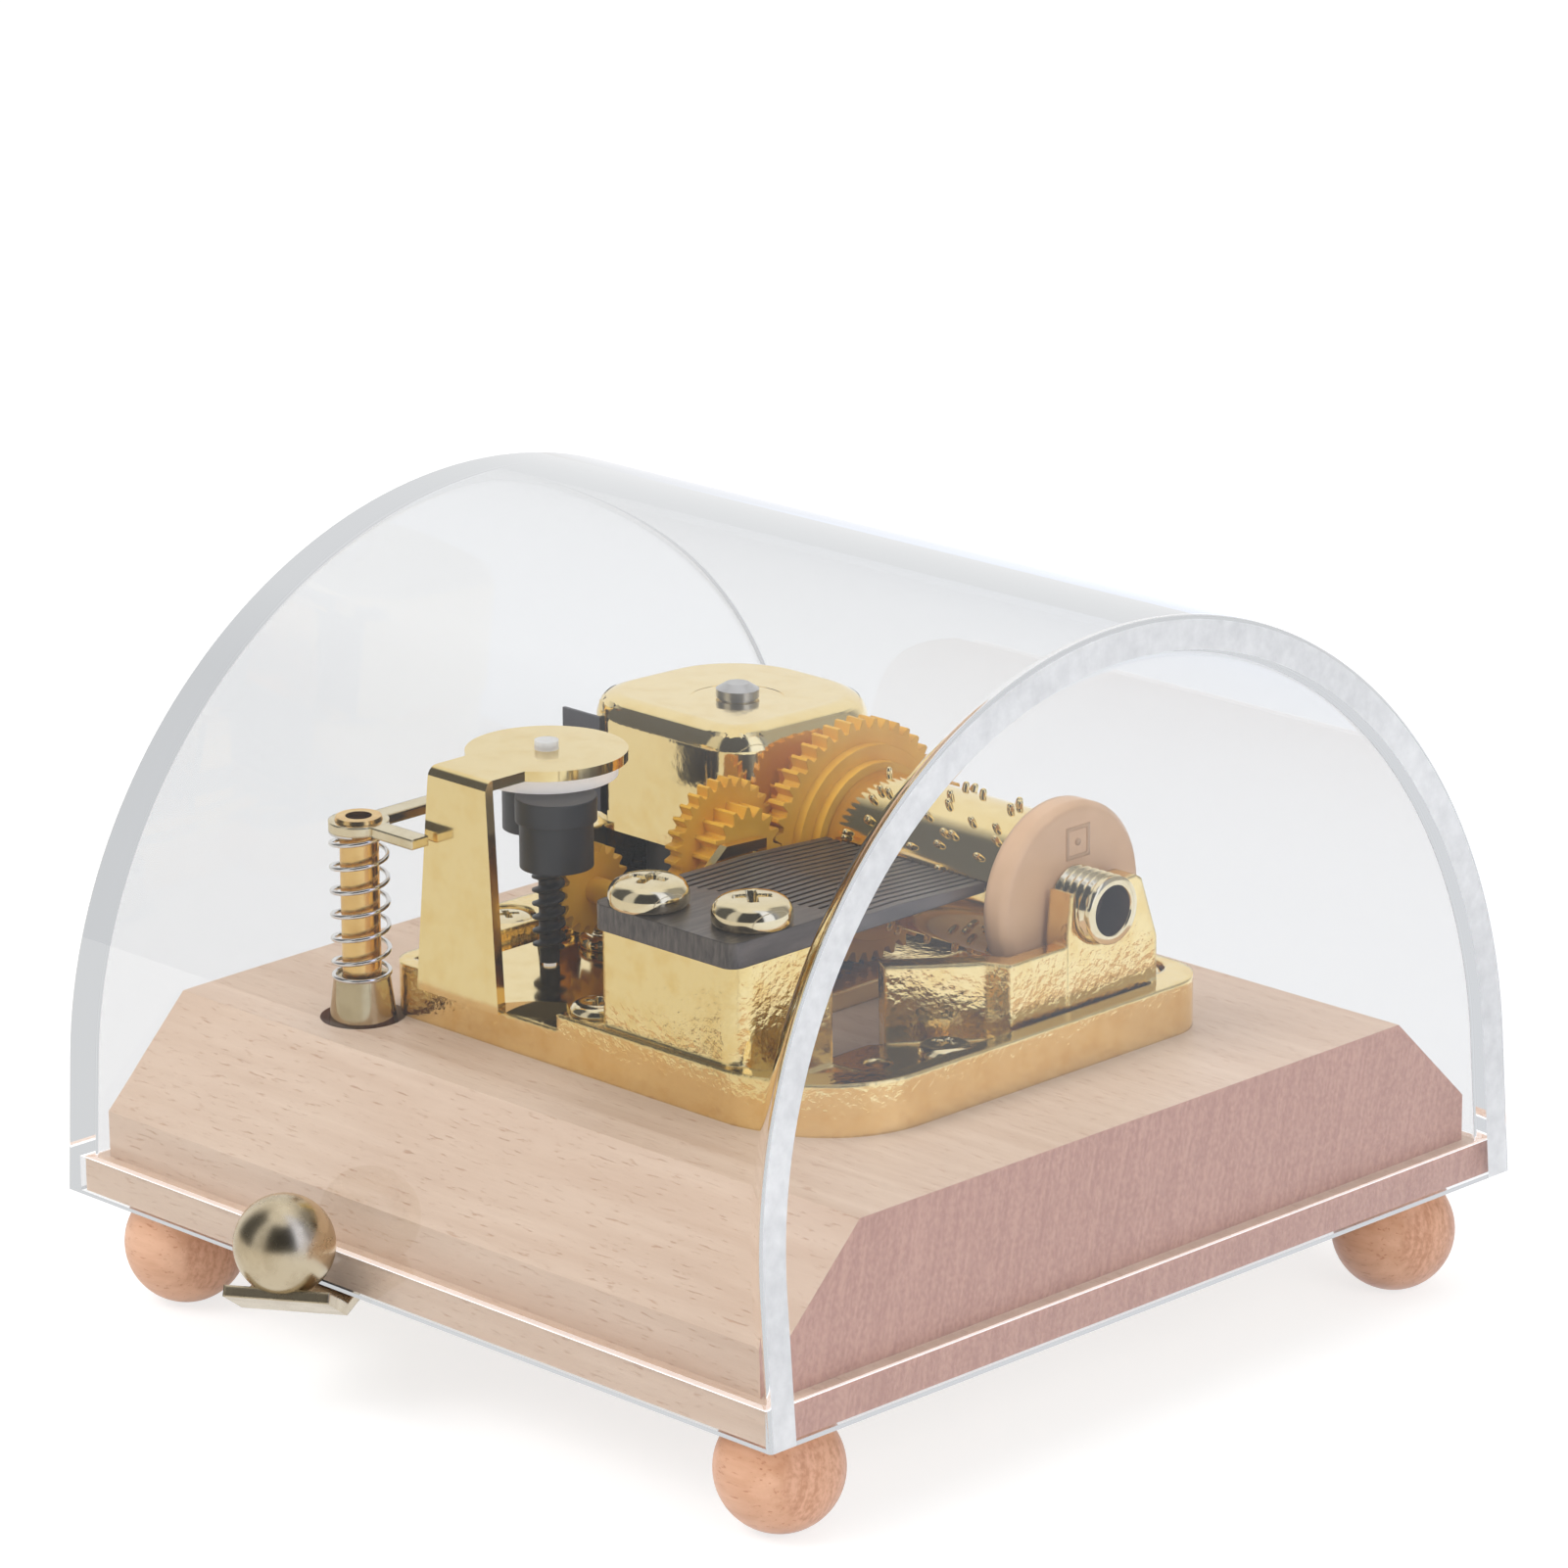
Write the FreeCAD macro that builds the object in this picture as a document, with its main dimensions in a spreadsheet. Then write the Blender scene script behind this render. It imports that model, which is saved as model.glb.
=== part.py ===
# A wind-up music box under a clear arched cover, standing on a wooden base with four ball feet.
# Frame: origin on the floor under the middle of the whole part, +X along the arch, -Y to the
# lever's side, +Z up. Everything is in millimetres. Sketches count from the middle of the case,
# which lies a little behind the origin because the lever's ball stands out in front.
import FreeCAD, Part
import math
import os
import Sketcher

doc = FreeCAD.newDocument("music_box")
sheet = doc.addObject("Spreadsheet::Sheet", "sizes")
V = FreeCAD.Vector
Z_UP = V(0, 0, 1)
X_ALONG = V(1, 0, 0)
rows = []
parts = []


class Size:
    """A length, angle or count: its value now, and the expression that follows the sheet."""

    def __init__(self, value, text):
        self.value = value
        self.text = text

    def __add__(self, other):
        return Size(self.value + val(other), f"({self.text} + {txt(other)})")

    def __radd__(self, other):
        return Size(val(other) + self.value, f"({txt(other)} + {self.text})")

    def __sub__(self, other):
        return Size(self.value - val(other), f"({self.text} - {txt(other)})")

    def __rsub__(self, other):
        return Size(val(other) - self.value, f"({txt(other)} - {self.text})")

    def __mul__(self, other):
        return Size(self.value * val(other), f"({self.text} * {txt(other)})")

    def __rmul__(self, other):
        return Size(val(other) * self.value, f"({txt(other)} * {self.text})")

    def __truediv__(self, other):
        return Size(self.value / val(other), f"({self.text} / {txt(other)})")

    def __neg__(self):
        return Size(-self.value, f"(-1 * {self.text})")


def val(thing):
    return thing.value if isinstance(thing, Size) else float(thing)


def txt(thing):
    return thing.text if isinstance(thing, Size) else repr(float(thing))


def size(alias, number):
    """Write one driving dimension into the sheet and hand it back for use below."""
    rows.append(alias)
    row = len(rows)
    sheet.set(f"A{row}", alias)
    sheet.set(f"B{row}", str(number))
    sheet.setAlias(f"B{row}", alias)
    return Size(float(number), f"sizes.{alias}")


def tangent(angle):
    return Size(math.tan(math.radians(angle.value)), f"tan({angle.text})")


def sine(angle):
    return Size(math.sin(math.radians(angle.value)), f"sin({angle.text})")


def root(area):
    return Size(math.sqrt(area.value), f"sqrt({area.text})")


# Case: the clear cover, the base that it drops over, and the feet.
case_length = size("case_length", 80)
case_back = size("case_back", 4.4)
case_width = size("case_width", 82.6)
foot_height = size("foot_height", 9.5)
wall_rise = size("wall_rise", 11.5)
cover_wall = size("cover_wall", 2.2)
end_wall = size("end_wall", 1.6)
end_lean = size("end_lean", 4)
cover_round = size("cover_round", 1.6)
rim_wall = size("rim_wall", 1.1)
rim_depth = size("rim_depth", 2.9)
cover_gap = size("cover_gap", 0.3)
base_height = size("base_height", 14.5)
base_side_gap = size("base_side_gap", 1.3)
base_side_height = size("base_side_height", 6.7)
base_top_width = size("base_top_width", 59.8)
foot_radius = size("foot_radius", 4.95)
foot_sink = size("foot_sink", 0.12)
foot_end_inset = size("foot_end_inset", 6.2)
foot_side_inset = size("foot_side_inset", 6.9)
tenon_radius = size("tenon_radius", 1.4)
tenon_length = size("tenon_length", 4)
key_recess_radius = size("key_recess_radius", 11)
key_recess_depth = size("key_recess_depth", 6)
stem_radius = size("stem_radius", 2.2)
cup_radius = size("cup_radius", 3.1)
cup_sink = size("cup_sink", 2.6)

# Fits: a seated piece has the first gap round it, a turning one the second.
seat_gap = size("seat_gap", 0.02)
run_gap = size("run_gap", 0.05)
air_gap = size("air_gap", 0.15)

# Bedplate of the movement and what stands on it.
plate_left = size("plate_left", 21.5)
ear_reach = size("ear_reach", 3.9)
plate_right = size("plate_right", 26.3)
plate_front = size("plate_front", 22.1)
plate_back = size("plate_back", 20.4)
plate_floor = size("plate_floor", 1.6)
plate_rim = size("plate_rim", 4.2)
rim_thick = size("rim_thick", 1.6)
platform_height = size("platform_height", 3)
sheet_thick = size("sheet_thick", 0.8)
front_right_round = size("front_right_round", 9.5)
small_round = size("small_round", 2.6)
post_thick = size("post_thick", 2.3)
post_depth = size("post_depth", 10)
post_ahead = size("post_ahead", 3.63)
post_rise = size("post_rise", 1.7)
post_shoulder = size("post_shoulder", 3.8)
post_lean = size("post_lean", 1.75)
side_wall_height = size("side_wall_height", 9.2)
pedestal_left = size("pedestal_left", 3)
pedestal_right = size("pedestal_right", 17.6)
pedestal_depth = size("pedestal_depth", 8.3)
pedestal_step = size("pedestal_step", 0.6)
wall_thick = size("wall_thick", 1.6)
spare_hole_radius = size("spare_hole_radius", 1)
screw_seat = size("screw_seat", 2.4)

# Pinned cylinder: its axis runs along X.
cylinder_y = size("cylinder_y", 9.5)
cylinder_height = size("cylinder_height", 11.6)
drum_radius = size("drum_radius", 6)
drum_wall = size("drum_wall", 0.8)
drum_start = size("drum_start", 1.75)
drum_length = size("drum_length", 17.4)
pin_reach = size("pin_reach", 0.7)
pin_radius = size("pin_radius", 0.22)
end_disc_radius = size("end_disc_radius", 7.75)
end_disc_thick = size("end_disc_thick", 2.1)
tube_radius = size("tube_radius", 2.8)
tube_bore = size("tube_bore", 1.95)
tube_length = size("tube_length", 4.3)
shaft_radius = size("shaft_radius", 1.2)
pivot_radius = size("pivot_radius", 0.8)
gear_width = size("gear_width", 1.75)
bore_depth = size("bore_depth", 3)

# Comb: eighteen teeth that end just clear of the pins.
comb_teeth = size("comb_teeth", 18)
comb_width = size("comb_width", 15.5)
comb_thick = size("comb_thick", 2)
comb_overhang = size("comb_overhang", 0.9)
tooth_thick = size("tooth_thick", 1.2)
tip_thick = size("tip_thick", 0.75)
slot_width = size("slot_width", 0.3)
slot_root_left = size("slot_root_left", 18)
slot_root_right = size("slot_root_right", 14.3)
comb_height = size("comb_height", 14.2)
comb_screw_radius = size("comb_screw_radius", 3.15)
comb_screw_shank = size("comb_screw_shank", 1.5)
comb_screw_length = size("comb_screw_length", 7)
comb_screw_height = size("comb_screw_height", 2.1)

# Spring housing with the winding arbor through it.
arbor_x = size("arbor_x", -12.25)
arbor_y = size("arbor_y", 7.8)
arbor_radius = size("arbor_radius", 1.45)
arbor_head = size("arbor_head", 1.75)
housing_left = size("housing_left", -23.5)
housing_right = size("housing_right", -3.9)
housing_front = size("housing_front", -0.6)
housing_back = size("housing_back", 19)
housing_bottom = size("housing_bottom", 10.6)
housing_height = size("housing_height", 10.6)
housing_wall = size("housing_wall", 0.6)
spring_strip = size("spring_strip", 0.3)
spring_turns = size("spring_turns", 4)
seat_ring_inner = size("seat_ring_inner", 10.75)
seat_ring_outer = size("seat_ring_outer", 12.2)
back_round = size("back_round", 8)
front_left_round = size("front_left_round", 6)
front_right_bend = size("front_right_bend", 4)
shoulder_round = size("shoulder_round", 1.1)
lug_drop = size("lug_drop", 1.6)
strip_height = size("strip_height", 7.8)
head_height = size("head_height", 1.2)
crown_disc = size("crown_disc", 1)
bar_height = size("bar_height", 0.9)
spool_radius = size("spool_radius", 7.5)
ratchet_teeth = size("ratchet_teeth", 12)
ratchet_radius = size("ratchet_radius", 4.2)

# Gear train: tooth counts, modules and where the two small arbors lie.
cylinder_teeth = size("cylinder_teeth", 45)
pinion_teeth = size("pinion_teeth", 16)
train_module = size("train_module", 0.42)
first_drop = size("first_drop", 1.5)
first_teeth = size("first_teeth", 30)
second_teeth = size("second_teeth", 10)
fine_module = size("fine_module", 0.35)
worm_wheel_teeth = size("worm_wheel_teeth", 19)
worm_radius = size("worm_radius", 1.1)
drive_teeth = size("drive_teeth", 26)
great_teeth = size("great_teeth", 39)
crown_reach = size("crown_reach", 9.25)
crown_width = size("crown_width", 1.6)
train_pin = size("train_pin", 0.5)
cheek_x = size("cheek_x", 0.3)
worm_wheel_width = size("worm_wheel_width", 1.2)

# Governor: an upright shaft with worm, two weights and a fixed disc over them.
governor_x = size("governor_x", -12)
governor_y = size("governor_y", -13.3)
lobe_reach = size("lobe_reach", 5.2)
lobe_radius = size("lobe_radius", 3.2)
lobe_turn = size("lobe_turn", -35)
bracket_disc = size("bracket_disc", 6.4)
bracket_height = size("bracket_height", 21.2)
nylon_radius = size("nylon_radius", 5.6)
nylon_thick = size("nylon_thick", 1.2)
fly_hub = size("fly_hub", 1.9)
boss_radius = size("boss_radius", 0.95)
ear_side = size("ear_side", 1.9)

# Start and stop lever: ball in front of the cover, fork up beside the governor.
stop_x = size("stop_x", -21.9)
stop_y = size("stop_y", -24.2)
stop_radius = size("stop_radius", 1.55)
fork_height = size("fork_height", 15.1)
fork_front = size("fork_front", 7.2)
fork_back = size("fork_back", 8.5)
fork_width = size("fork_width", 1.7)
coil_radius = size("coil_radius", 2.05)
wire_radius = size("wire_radius", 0.18)
lever_turn = size("lever_turn", -57.6)
lever_overhang = size("lever_overhang", 2.66)
lever_width = size("lever_width", 8.4)
lever_thick = size("lever_thick", 0.9)
lip_rise = size("lip_rise", 30)
lip_length = size("lip_length", 5.4)
ball_radius = size("ball_radius", 3.95)
ball_flat = size("ball_flat", 3.5)
ball_place = size("ball_place", 4.8)
coil_turns = size("coil_turns", 5)
end_pitch = size("end_pitch", 0.85)

# Screws of the movement, and the winding key.
wood_screw_radius = size("wood_screw_radius", 1)
wood_screw_length = size("wood_screw_length", 9)
small_screw_radius = size("small_screw_radius", 0.9)
small_screw_length = size("small_screw_length", 2.4)
small_head = size("small_head", 2.15)
small_head_height = size("small_head_height", 1.2)
key_reach = size("key_reach", 4.5)
key_wing = size("key_wing", 3.7)
key_thick = size("key_thick", 1.3)
key_clear = size("key_clear", 2.2)

doc.recompute()

# Levels and places that several pieces share.
deck = foot_height + base_height
arch_radius = case_width / 2
arch_centre = foot_height + wall_rise
cover_top = arch_centre + arch_radius
foot_x = case_length / 2 - foot_end_inset
foot_y = arch_radius - foot_side_inset
lean = tangent(end_lean)
cylinder_z = deck + cylinder_height
comb_top = deck + comb_height
comb_left = pedestal_left - 0.35
first_pitch = fine_module * first_teeth / 2
pinion_pitch = train_module * pinion_teeth / 2
cylinder_pitch = train_module * cylinder_teeth / 2
first_z = cylinder_z + first_drop
first_away = cylinder_pitch + pinion_pitch
first_y = cylinder_y - root(first_away * first_away - first_drop * first_drop)
worm_wheel_pitch = fine_module * worm_wheel_teeth / 2
second_pitch = fine_module * second_teeth / 2
second_y = governor_y + worm_radius + worm_wheel_pitch
second_away = first_pitch + second_pitch
second_back = first_y - second_y
second_z = first_z - root(second_away * second_away - second_back * second_back)
worm_lead = fine_module * math.pi
drive_pitch = crown_reach * drive_teeth / great_teeth
drive_module = crown_reach * 2 / great_teeth
housing_top = deck + housing_bottom + housing_height
plate_top = deck + platform_height + sheet_thick
bracket_top = deck + bracket_height
fork_top = deck + fork_height + sheet_thick
fork_bottom = deck + fork_height


# Helpers: one object per sub-part, with sketches and features bound to the sheet.
def bind(thing, prop, amount):
    """Give a property its value and tie it to the sheet."""
    if isinstance(amount, Size):
        thing.setExpression(prop, amount.text)
    else:
        setattr(thing, prop, amount)


def place(thing, x=0, y=0, z=0, axis=None, angle=0):
    """Put a sub-part where it belongs, counted from the middle of the case."""
    set_off(thing, x, y + case_back, z, axis, angle)


def set_off(thing, x, y, z, axis=None, angle=0):
    """Move an object by x, y and z, turned about one axis."""
    turn = FreeCAD.Rotation(axis or Z_UP, val(angle))
    thing.Placement = FreeCAD.Placement(V(val(x), val(y), val(z)), turn)
    for name, amount in (("x", x), ("y", y), ("z", z)):
        if isinstance(amount, Size):
            thing.setExpression(f"Placement.Base.{name}", amount.text)


def keep(thing, label):
    """Name a sub-part, list it for export and, unless it has a place already, put it at the case."""
    thing.Label = label
    if thing.Placement.Base.Length == 0:
        place(thing)
    parts.append(thing)
    return thing


def new_body(name):
    return doc.addObject("PartDesign::Body", name)


def sketch_on(body, plane, lift=0):
    """A sketch on one of the body's origin planes, moved along its normal."""
    for feature in body.Origin.OriginFeatures:
        if feature.Role == f"{plane}_Plane":
            support = feature
    sketch = body.newObject("Sketcher::SketchObject", "sketch")
    sketch.AttachmentSupport = (support, "")
    sketch.MapMode = "FlatFace"
    if isinstance(lift, Size):
        sketch.setExpression("AttachmentOffset.Base.z", lift.text)
    else:
        sketch.AttachmentOffset = FreeCAD.Placement(V(0, 0, lift), FreeCAD.Rotation())
    return sketch


def fix(sketch, kind, refs, amount):
    """One dimension of a sketch, bound when it comes from the sheet."""
    index = sketch.addConstraint(Sketcher.Constraint(kind, *refs, val(amount)))
    if isinstance(amount, Size):
        sketch.renameConstraint(index, f"c{index}")
        sketch.setExpression(f"Constraints.c{index}", amount.text)


def locate(sketch, geometry, point, x, y):
    fix(sketch, "DistanceX", (-1, 1, geometry, point), x)
    fix(sketch, "DistanceY", (-1, 1, geometry, point), y)


def outline(sketch, points):
    """A closed outline of straight edges."""
    first = sketch.GeometryCount
    count = len(points)
    ends = [V(val(x), val(y), 0) for x, y in points]
    for i in range(count):
        sketch.addGeometry(Part.LineSegment(ends[i], ends[(i + 1) % count]), False)
    for i in range(count):
        joint = ("Coincident", first + i, 2, first + (i + 1) % count, 1)
        sketch.addConstraint(Sketcher.Constraint(*joint))
    for i, (x, y) in enumerate(points):
        locate(sketch, first + i, 1, x, y)


def block(sketch, x0, x1, y0, y1):
    outline(sketch, [(x0, y0), (x1, y0), (x1, y1), (x0, y1)])


def ring(sketch, x, y, radius):
    """A full circle."""
    index = sketch.GeometryCount
    circle = Part.Circle(V(val(x), val(y), 0), Z_UP, val(radius))
    sketch.addGeometry(circle, False)
    fix(sketch, "Radius", (index,), radius)
    locate(sketch, index, 3, x, y)


def arch(sketch, half, bottom, centre):
    """Upright sides under a half circle."""
    w, low, mid = val(half), val(bottom), val(centre)
    sketch.addGeometry(Part.LineSegment(V(-w, low, 0), V(w, low, 0)), False)
    sketch.addGeometry(Part.LineSegment(V(w, low, 0), V(w, mid, 0)), False)
    curve = Part.Circle(V(0, mid, 0), Z_UP, w)
    sketch.addGeometry(Part.ArcOfCircle(curve, 0, math.pi), False)
    sketch.addGeometry(Part.LineSegment(V(-w, mid, 0), V(-w, low, 0)), False)
    for joint in ((0, 2, 1, 1), (1, 2, 2, 1), (2, 2, 3, 1), (3, 2, 0, 1)):
        sketch.addConstraint(Sketcher.Constraint("Coincident", *joint))
    locate(sketch, 0, 1, -half, bottom)
    locate(sketch, 0, 2, half, bottom)
    locate(sketch, 2, 3, 0, centre)
    locate(sketch, 1, 2, half, centre)
    fix(sketch, "DistanceY", (-1, 1, 3, 1), centre)


def pad(body, sketch, length, both=False):
    feature = body.newObject("PartDesign::Pad", "pad")
    feature.Profile = sketch
    feature.Midplane = both
    bind(feature, "Length", length)
    return feature


def pocket(body, sketch, length=None, both=False, up=False):
    """Cut along the sketch's back side, or its front side where up is set."""
    feature = body.newObject("PartDesign::Pocket", "pocket")
    feature.Profile = sketch
    feature.Midplane = both
    feature.Reversed = up
    if length is None:
        feature.Type = "ThroughAll"
    else:
        bind(feature, "Length", length)
    return feature


def turn(body, sketch, axis="V_Axis", cut=False):
    kind = "PartDesign::Groove" if cut else "PartDesign::Revolution"
    feature = body.newObject(kind, "turning")
    feature.Profile = sketch
    feature.ReferenceAxis = (sketch, [axis])
    feature.Angle = 360
    return feature


def around(body, feature, sketch, count):
    pattern = body.newObject("PartDesign::PolarPattern", "pattern")
    pattern.Originals = [feature]
    pattern.Axis = (sketch, ["N_Axis"])
    pattern.Angle = 360
    bind(pattern, "Occurrences", count)
    body.Tip = pattern
    return pattern


def round_off(body, feature, wanted, radius, kind="Fillet"):
    """Round or bevel the edges for which wanted(edge) is true."""
    doc.recompute()
    names = [f"Edge{i + 1}" for i, edge in enumerate(feature.Shape.Edges) if wanted(edge)]
    dress = body.newObject(f"PartDesign::{kind}", kind.lower())
    dress.Base = (feature, names)
    bind(dress, "Radius" if kind == "Fillet" else "Size", radius)
    return dress


def upright(edge, x, y, reach=0.3):
    """True for a vertical edge near the given place."""
    box = edge.BoundBox
    flat = box.XLength < 0.01 and box.YLength < 0.01
    near = abs(box.XMin - val(x)) < reach and abs(box.YMin - val(y)) < reach
    return flat and near and box.ZLength > 0.5


def turned(label, profile, axis="Z"):
    """A turned piece: profile gives (radius, height) pairs, or (place, radius) along X."""
    body = new_body(label)
    sketch = sketch_on(body, "XZ")
    outline(sketch, profile)
    turn(body, sketch, "V_Axis" if axis == "Z" else "H_Axis")
    return keep(body, label)


def mesh_phase(toward, phase, teeth, other_teeth):
    """Turn of a second wheel whose gap meets the first wheel's tooth along toward."""
    lead = (toward - phase) * val(teeth) / val(other_teeth)
    return toward + 180 - 180 / val(other_teeth) + lead


def toothed(body, plane, start, width, module, teeth, share=0.4):
    """A spur wheel with straight-sided teeth, the first one on the sketch's own x axis."""
    pitch = module * teeth / 2
    half = module * (math.pi * share / 2)
    foot = pitch - module * 1.05
    tip = pitch + module * 0.8
    blank = sketch_on(body, plane, start)
    ring(blank, 0, 0, foot)
    pad(body, blank, width)
    tooth = sketch_on(body, plane, start)
    wide = half + module * 0.36
    narrow = half - module * 0.28
    inner = foot - module * 0.4
    outline(tooth, [(inner, -wide), (foot, -wide), (tip, -narrow), (tip, narrow), (foot, wide), (inner, wide)])
    cut = pad(body, tooth, width)
    around(body, cut, tooth, teeth)


def collar(body, plane, start, width, radius):
    """A plain round step on a wheel."""
    sketch = sketch_on(body, plane, start)
    ring(sketch, 0, 0, radius)
    return pad(body, sketch, width)


def bore(body, plane, start, width, radius):
    """A round hole from start over width, along the plane's normal."""
    sketch = sketch_on(body, plane, start)
    ring(sketch, 0, 0, radius)
    return pocket(body, sketch, width, up=True)


# Cover: an arched block with leaning ends, less a core of the same form inside it, and a thin
# rim at the bottom that drops over the base's flange.
def arched_block(name, half_width, half_length, bottom, centre, lean_from):
    body = new_body(name)
    profile = sketch_on(body, "YZ")
    arch(profile, half_width, bottom, centre)
    pad(body, profile, half_length * 2 + 8, both=True)
    ends = sketch_on(body, "XZ")
    above = centre + half_width + 3
    out = half_length + 6
    low = bottom - 1
    at_low = half_length - lean * (low - lean_from)
    at_high = half_length - lean * (above - lean_from)
    outline(ends, [(at_low, low), (out, low), (out, above), (at_high, above)])
    outline(ends, [(-at_low, low), (-at_high, above), (-out, above), (-out, low)])
    pocket(body, ends, both=True)
    return body


def arch_edge(edge):
    """The edges round each end, without the straight ones along the bottom."""
    box = edge.BoundBox
    along = box.XLength > val(case_length) / 2
    low = box.ZMax < val(foot_height) + 0.1
    return not along and not low


cover_form = arched_block("cover_form", arch_radius, case_length / 2, foot_height, arch_centre, foot_height)
round_off(cover_form, cover_form.Tip, arch_edge, cover_round, "Chamfer")
cover_core = arched_block(
    "cover_core",
    arch_radius - cover_wall,
    case_length / 2 - end_wall,
    foot_height - 1,
    arch_centre,
    foot_height,
)
rim_core = new_body("rim_core")
rim_sketch = sketch_on(rim_core, "XY", foot_height - 1)
rim_x = case_length / 2 - rim_wall
rim_y = arch_radius - rim_wall
block(rim_sketch, -rim_x, rim_x, -rim_y, rim_y)
pad(rim_core, rim_sketch, rim_depth + 1)
inside = doc.addObject("Part::Fuse", "cover_inside")
inside.Base = cover_core
inside.Tool = rim_core
cover = doc.addObject("Part::Cut", "cover")
cover.Base = cover_form
cover.Tool = inside
keep(cover, "cover")

# Base: a flange under the rim, upright sides and a bevel at front and back.
base = new_body("base")
flange_x = rim_x - cover_gap
flange_y = rim_y - cover_gap
flange = sketch_on(base, "XY", foot_height)
block(flange, -flange_x, flange_x, -flange_y, flange_y)
pad(base, flange, rim_depth)
body_x = case_length / 2 - end_wall - lean * base_height - cover_gap
body_y = arch_radius - cover_wall - base_side_gap
flange_top = foot_height + rim_depth
top_y = base_top_width / 2
side_top = foot_height + base_side_height
rise = sketch_on(base, "YZ")
low_z = foot_height + 1
outline(
    rise,
    [
        (-body_y, low_z),
        (body_y, low_z),
        (body_y, side_top),
        (top_y, deck),
        (-top_y, deck),
        (-body_y, side_top),
    ],
)
pad(base, rise, body_x * 2, both=True)
recess = sketch_on(base, "XY", foot_height)
ring(recess, arbor_x, arbor_y, key_recess_radius)
pocket(base, recess, key_recess_depth, up=True)
stem_hole = sketch_on(base, "XY", foot_height)
ring(stem_hole, arbor_x, arbor_y, stem_radius + 0.8)
pocket(base, stem_hole, base_height + 1, up=True)
tube_hole = sketch_on(base, "XY", foot_height)
ring(tube_hole, stop_x, stop_y, stop_radius + run_gap * 3)
pocket(base, tube_hole, base_height + 1, up=True)
cup_hole = sketch_on(base, "XY", deck)
ring(cup_hole, stop_x, stop_y, cup_radius + air_gap * 2)
pocket(base, cup_hole, cup_sink)
for side_x in (-1, 1):
    for side_y in (-1, 1):
        socket = sketch_on(base, "XY", foot_height)
        ring(socket, foot_x * side_x, foot_y * side_y, tenon_radius + seat_gap)
        pocket(base, socket, tenon_length + 0.3, up=True)
wood_screw_places = [
    (plate_right - 3.6, housing_front - 5.6),
    (-plate_left - 1.4, -plate_front + 14.2),
    (plate_right - 5.4, plate_back - 3.4),
]
pilots = sketch_on(base, "XY", deck)
for x, y in wood_screw_places:
    ring(pilots, x, y, wood_screw_radius + seat_gap)
pocket(base, pilots, wood_screw_length - plate_floor)
keep(base, "base")


# Feet: turned balls with a flat to stand on, a flat seat and a tenon glued into the base.
def foot(label, side_x, side_y):
    body = new_body(label)
    sketch = sketch_on(body, "XZ")
    radius = foot_radius
    middle = foot_radius - foot_sink
    low = root(radius * radius - middle * middle)
    high_side = foot_height - middle
    high = root(radius * radius - high_side * high_side)
    start = math.atan2(-middle.value, low.value)
    end = math.atan2(high_side.value, high.value)
    circle = Part.Circle(V(0, middle.value, 0), Z_UP, radius.value)
    points = [
        V(high.value, foot_height.value, 0),
        V(tenon_radius.value, foot_height.value, 0),
        V(tenon_radius.value, foot_height.value + tenon_length.value, 0),
        V(0, foot_height.value + tenon_length.value, 0),
        V(0, 0, 0),
        V(low.value, 0, 0),
    ]
    sketch.addGeometry(Part.ArcOfCircle(circle, start, end), False)
    for i in range(5):
        sketch.addGeometry(Part.LineSegment(points[i], points[i + 1]), False)
    for joint in ((0, 2, 1, 1), (1, 2, 2, 1), (2, 2, 3, 1), (3, 2, 4, 1), (4, 2, 5, 1), (5, 2, 0, 1)):
        sketch.addConstraint(Sketcher.Constraint("Coincident", *joint))
    locate(sketch, 0, 3, 0, middle)
    fix(sketch, "Radius", (0,), radius)
    fix(sketch, "DistanceY", (-1, 1, 0, 2), foot_height)
    locate(sketch, 2, 1, tenon_radius, foot_height)
    locate(sketch, 3, 1, tenon_radius, foot_height + tenon_length)
    locate(sketch, 4, 1, 0, foot_height + tenon_length)
    locate(sketch, 5, 1, 0, 0)
    fix(sketch, "DistanceY", (-1, 1, 0, 1), 0)
    turn(body, sketch)
    place(body, foot_x * side_x, foot_y * side_y)
    return keep(body, label)


foot("foot_front_left", -1, -1)
foot("foot_front_right", 1, -1)
foot("foot_back_left", -1, 1)
foot("foot_back_right", 1, 1)

# Bedplate: one casting with a rim, a raised platform for the governor bracket, the comb's
# pedestal, the cylinder's bearing post, a ribbed side wall and the housing's seat ring.
plate = new_body("bedplate")
edge_left = -plate_left
ear_left = edge_left - ear_reach
ear_front = -plate_front + 11.6
ear_back = arbor_y + 7.2
slab = sketch_on(plate, "XY", deck)
outline(
    slab,
    [
        (edge_left, -plate_front),
        (plate_right, -plate_front),
        (plate_right, plate_back),
        (edge_left, plate_back),
        (edge_left, ear_back),
        (ear_left, ear_back),
        (ear_left, ear_front),
        (edge_left, ear_front),
    ],
)
slab_pad = pad(plate, slab, plate_rim)


def corner(x, y):
    return lambda edge: upright(edge, x, y)


rounded = round_off(plate, slab_pad, corner(plate_right, -plate_front), front_right_round)
rounded = round_off(plate, rounded, corner(plate_right, plate_back), small_round * 1.6)
rounded = round_off(plate, rounded, corner(edge_left, -plate_front), small_round)
rounded = round_off(plate, rounded, corner(ear_left, ear_front), small_round)
rounded = round_off(plate, rounded, corner(ear_left, ear_back), small_round)
rounded = round_off(plate, rounded, corner(edge_left, plate_back), small_round)
seat_disc = sketch_on(plate, "XY", deck)
ring(seat_disc, arbor_x, arbor_y, seat_ring_outer)
pad(plate, seat_disc, housing_bottom)
well = sketch_on(plate, "XY", deck + plate_floor)
ring(well, arbor_x, arbor_y, seat_ring_inner)
pocket(plate, well, housing_bottom, up=True)
clear_right = sketch_on(plate, "XY", deck + plate_rim)
open_x = arbor_x + 3
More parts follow.
